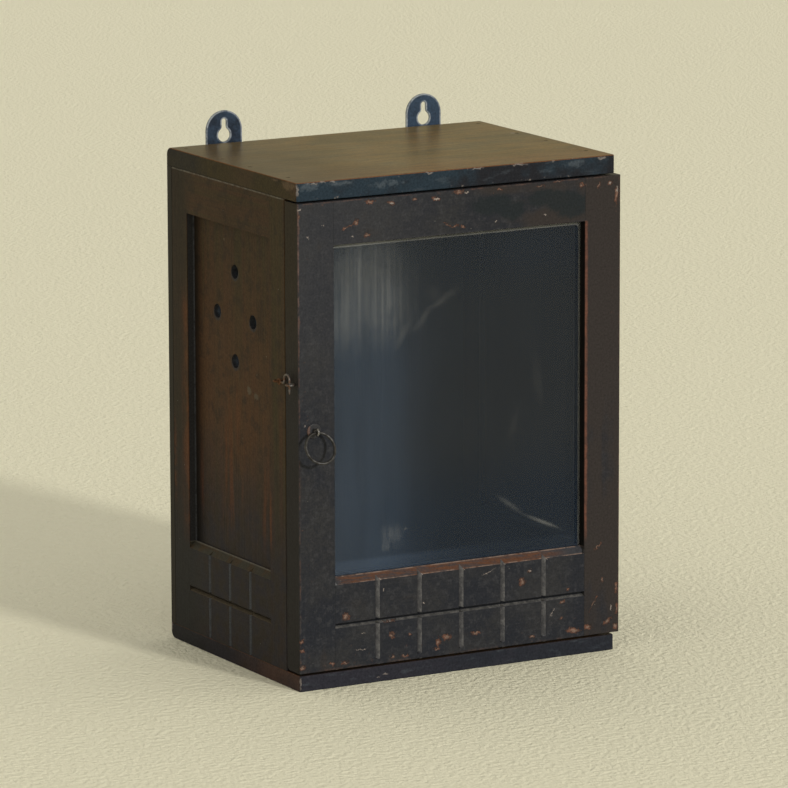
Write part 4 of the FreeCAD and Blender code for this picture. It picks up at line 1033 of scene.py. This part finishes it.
# Painted light: a pale diagonal streak on the glass stands for the lit, dusty ledge inside, behind
# it.
streak_end = pane.times(pane.span(pane.fade(x, *LEDGE_STREAK_RIGHT), 0.4, 1), pane.fade(x, *LEDGE_STREAK_STOP))
ledge_dust_and_light_streak = pane.plus(
    pane.times(smear(pane.place, 1.0, 0.0, (91, -339.6, 29, 2.8, 23.5)), streak_end),
    pane.times(smear(pane.place, 1.0, 0.0, (58, -320.5, 23, 4.0, 35)), 0.35),
)
round_x = pane.most(pane.minus(x, window_right - WIPE_SIDE - WIPE_ROUND), 0.0)
round_z = pane.most(pane.minus(z, window_high - WIPE_TOP - WIPE_ROUND), 0.0)
unwiped = pane.times(
    pane.fade(pane.slant(round_x, round_z), WIPE_ROUND - 0.0013, WIPE_ROUND - 0.0004),
    pane.span(cloudy, 0.2, 1),
)
lower = pane.times(
    pane.fade(z, window_low + 0.014, window_low + 0.01),
    pane.span(pane.fade(x, *LOWER_LEFT), 0.25, 1),
)
deep = pane.times(pane.fade(z, *DEEP_DOWN), pane.fade(x, *DEEP_RIGHT))
high = pane.times(pane.fade(z, *HIGH_UP), pane.fade(x, *HIGH_RIGHT))
thinned = pane.minus(1.0, pane.plus(pane.times(deep, 0.85), pane.times(high, 0.35)))
# Painted reflection: the hazy film, grey and blue, also stands for light that the glass reflects.
blue_share = pane.plus(
    pane.times(veil, 0.051), pane.times(lower, 0.04), pane.span(cloudy, 0.019, 0.031),
    pane.times(deep, 0.015), pane.times(high, 0.008),
)
grey_share = pane.plus(
    pane.times(bloom, 0.132), pane.times(arc, 0.036), pane.times(faint, 0.016),
    pane.times(patch, 0.1), pane.times(ledge_dust_and_light_streak, 0.19), pane.times(unwiped, 0.3),
    pane.times(pane.span(wiped, 0.015, 0.029), thinned),
)
share = pane.plus(blue_share, grey_share)
film_tone = pane.mix(pane.calc("DIVIDE", grey_share, share), FILM_BLUE_DUST_AND_SHEEN, FILM_GREY_DUST_AND_SHEEN)
clear = pane.add("ShaderNodeBsdfTransparent", GLASS_TINT)
dusty = pane.add("ShaderNodeBsdfDiffuse", film_tone)
film = pane.add("ShaderNodeMixShader", pane.times(share, outer), clear.outputs[0], dusty.outputs[0])
mirror = pane.add("ShaderNodeBsdfGlossy", WHITE, MIRROR_ROUGH)
gleam = pane.times(pane.add("ShaderNodeFresnel", GLEAM_IOR).outputs[0], outer)
surface = pane.add("ShaderNodeMixShader", gleam, film.outputs[0], mirror.outputs[0])
pane.add("ShaderNodeOutputMaterial", surface.outputs[0])
dress(pane.owner, "door_glass")

bead = Finish("glass_bead_stain")
cloud = bead.noise(60, 4)
bead.colour = bead.mix(cloud, INSIDE_GREY, DUSK)
dress(
    bead.done(bead.span(cloud, 0.4, 0.6), bead.noise(500, 4), 0.0001, Specular_IOR_Level=0.2),
    "bottom_glass_bead", "top_glass_bead", "left_glass_bead", "right_glass_bead",
)


# Hinges: two butt hinges, each with two screwed leaves and a loose pin through five knuckles.
# Dull grey steel, spotted with rust, with slotted countersunk screws.

HINGE_STEEL = (0.16, 0.145, 0.125)
HINGE_DARK = (0.06, 0.052, 0.045)

hinge = Finish("hinge_steel")
spotted = hinge.fade(hinge.noise(160, 4, 0.7), 0.45, 0.7)
hinge.colour = hinge.mix(spotted, HINGE_STEEL, HINGE_DARK)
hinge.coat(RUST, hinge.fade(hinge.noise(260, 4, 0.7), 0.6, 0.7))
hinge_steel = hinge.done(hinge.span(spotted, 0.35, 0.6), hinge.noise(700, 3), 0.00008, Metallic=0.8)
dress(hinge_steel, *[name for name in pieces if "hinge" in name])

LEAF_SCREW_LENGTH = 0.012
LEAF_SCREW_INSET = 0.009
LEAF_SCREWS = 3
LEAF_FACES = {
    "case": (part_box("right_front_stile")[0].y, (0, -1, 0)),
    "door": (door_high.y, (0, 1, 0)),
}
for owner, (face_y, facing) in LEAF_FACES.items():
    places = []
    for end in ("upper", "lower"):
        low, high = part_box(f"{end}_hinge_{owner}_leaf")
        for count in range(LEAF_SCREWS):
            rise = low.z + (count + 0.5) * (high.z - low.z) / LEAF_SCREWS
            places.append(Vector((low.x + LEAF_SCREW_INSET, face_y, rise)))
    set_screws(f"hinge_{owner}_screws", owner, LEAF_SCREW_LENGTH, places, facing)


# Ring pull: a wire ring hanging in a screw eye, which stands on a small domed rosette.
# Grey steel: the ring is dull and tarnished, the eye is given a pale steel as a painted highlight,
# and the rosette is painted over with the door and worn through at its left.

PULL_STEEL = (0.078, 0.076, 0.076)
PULL_TARNISH = (0.03, 0.028, 0.027)
EYE_HIGHLIGHT_STEEL = (0.27, 0.262, 0.265)
ROSE_BARE = (0.12, 0.075, 0.06)
ROSE_LEFT = (-0.15, -0.1555)

pull = Finish("pull_steel")
tarnish = pull.fade(pull.noise(130, 4, 0.65), 0.35, 0.65)
pull.colour = pull.mix(tarnish, PULL_STEEL, PULL_TARNISH)
rough = pull.span(tarnish, 0.4, 0.56)
dress(pull.done(rough, pull.noise(800, 3), 0.00008, Metallic=0.85), "pull_ring")
# Painted highlight: the screw eye gets a pale steel tone.
eye = Finish("pull_eye_highlight_steel")
dulled = eye.fade(eye.noise(300, 4, 0.65), 0.5, 0.68)
eye.colour = eye.mix(dulled, EYE_HIGHLIGHT_STEEL, PULL_TARNISH)
dress(eye.done(eye.span(dulled, 0.22, 0.4), eye.noise(800, 3), 0.00006, Metallic=0.85), "pull_eye")
rose = Finish("rosette_paint")
leftward = rose.times(rose.fade(rose.axes[ALONG_X], *ROSE_LEFT), 0.25)
rubbed = rose.fade(rose.plus(rose.noise(240, 4, 0.7), leftward), 0.62, 0.74)
rose.colour = rose.mix(rose.noise(90, 3), CHARCOAL, ASH)
rose.coat(ROSE_BARE, rubbed)
dress(
    rose.done(rose.span(rubbed, 0.35, 0.6), rose.noise(600, 3), 0.0001, Specular_IOR_Level=0.15),
    "pull_rosette",
)


# Latch: a wire hook linked in a screw eye of the case, dropped into a like eye in the door's edge.
# Iron wire, rusty towards the case and rubbed grey towards the door.

LATCH_IRON = (0.115, 0.105, 0.1)
LATCH_RUST = (0.12, 0.052, 0.02)
RUSTIER_BACK = (-0.232, -0.222)

latch = Finish("latch_iron")
backward = latch.times(latch.fade(latch.axes[ALONG_Y], *RUSTIER_BACK), 0.2)
rusted = latch.fade(latch.plus(latch.noise(230, 4, 0.7), backward), 0.45, 0.65)
latch.colour = latch.mix(rusted, LATCH_IRON, LATCH_RUST)
dress(
    latch.done(latch.span(rusted, 0.35, 0.8), latch.noise(1200, 3), 0.0001, Metallic=0.5),
    "latch_case_eye", "latch_door_eye", "latch_hook",
)


# Floor: a plain cream sheet that the cabinet stands on, wide enough to fill the picture.
# Matt and faintly pebbled, like rough plaster.

FLOOR_CREAM = (0.885, 0.823, 0.578)
FLOOR_PALE = (0.925, 0.87, 0.632)
FLOOR_SIZE = 60

bpy.ops.mesh.primitive_plane_add(size=FLOOR_SIZE, location=(0, 0, cad_box[0][2]))
floor = bpy.context.object
floor.name = "floor"
ground = Finish("floor_cream")
ground.colour = ground.mix(ground.noise(140, 4, 0.6), FLOOR_CREAM, FLOOR_PALE)
pebbles = ground.noise(160, 4, 0.6)
floor.data.materials.append(ground.done(0.9, pebbles, 0.004, Specular_IOR_Level=0.1))


# Light: an even white surround and one soft lamp in front, a little above and to the right.
# The camera, and what mirrors or lets light through, see plain cream instead of the surround.

SURROUND_CREAM = (0.625, 0.58, 0.412)
SURROUND_STRENGTH = 0.6
LAMP_STRENGTH = 1.68
LAMP_WIDTH = 6
LAMP_WAY = (-0.2, 0.925, -0.325)

sky = Finish("studio", world=True)
bpy.context.scene.world = sky.owner
path = sky.add("ShaderNodeLightPath").outputs
seen = sky.most(path["Is Camera Ray"], path["Is Glossy Ray"], path["Is Transmission Ray"])
around = sky.add("ShaderNodeBackground", WHITE, SURROUND_STRENGTH)
shown = sky.add("ShaderNodeBackground", SURROUND_CREAM)
choice = sky.add("ShaderNodeMixShader", seen, around.outputs[0], shown.outputs[0])
sky.add("ShaderNodeOutputWorld", choice.outputs[0])

lamp = bpy.data.lights.new("soft_lamp", "SUN")
lamp.energy = LAMP_STRENGTH
lamp.angle = math.radians(LAMP_WIDTH)
key = bpy.data.objects.new("soft_lamp", lamp)
bpy.context.scene.collection.objects.link(key)
key.rotation_euler = Vector(LAMP_WAY).to_track_quat("-Z", "Y").to_euler()


# Camera: a long lens from the left and a little above, as in the photograph.
# It stands about five and a half metres off, and leans by a sixth of a degree.

LENS, SENSOR, CLIP_END = 271.55, 36, 100
STAND = Vector((-2.63, -4.7821, 0.8135))
AIM = Vector((0.0095, -0.114, -0.235))
LEAN = -0.168

lens = bpy.data.cameras.new("camera")
lens.sensor_width = SENSOR
lens.lens = LENS
lens.clip_end = CLIP_END
camera = bpy.data.objects.new("camera", lens)
bpy.context.scene.collection.objects.link(camera)
look = (AIM - STAND).to_track_quat("-Z", "Y").to_matrix().to_4x4()
camera.matrix_world = Matrix.Translation(STAND) @ look @ Matrix.Rotation(math.radians(LEAN), 4, "Z")
bpy.context.scene.camera = camera
bpy.context.scene.view_settings.view_transform = "Standard"
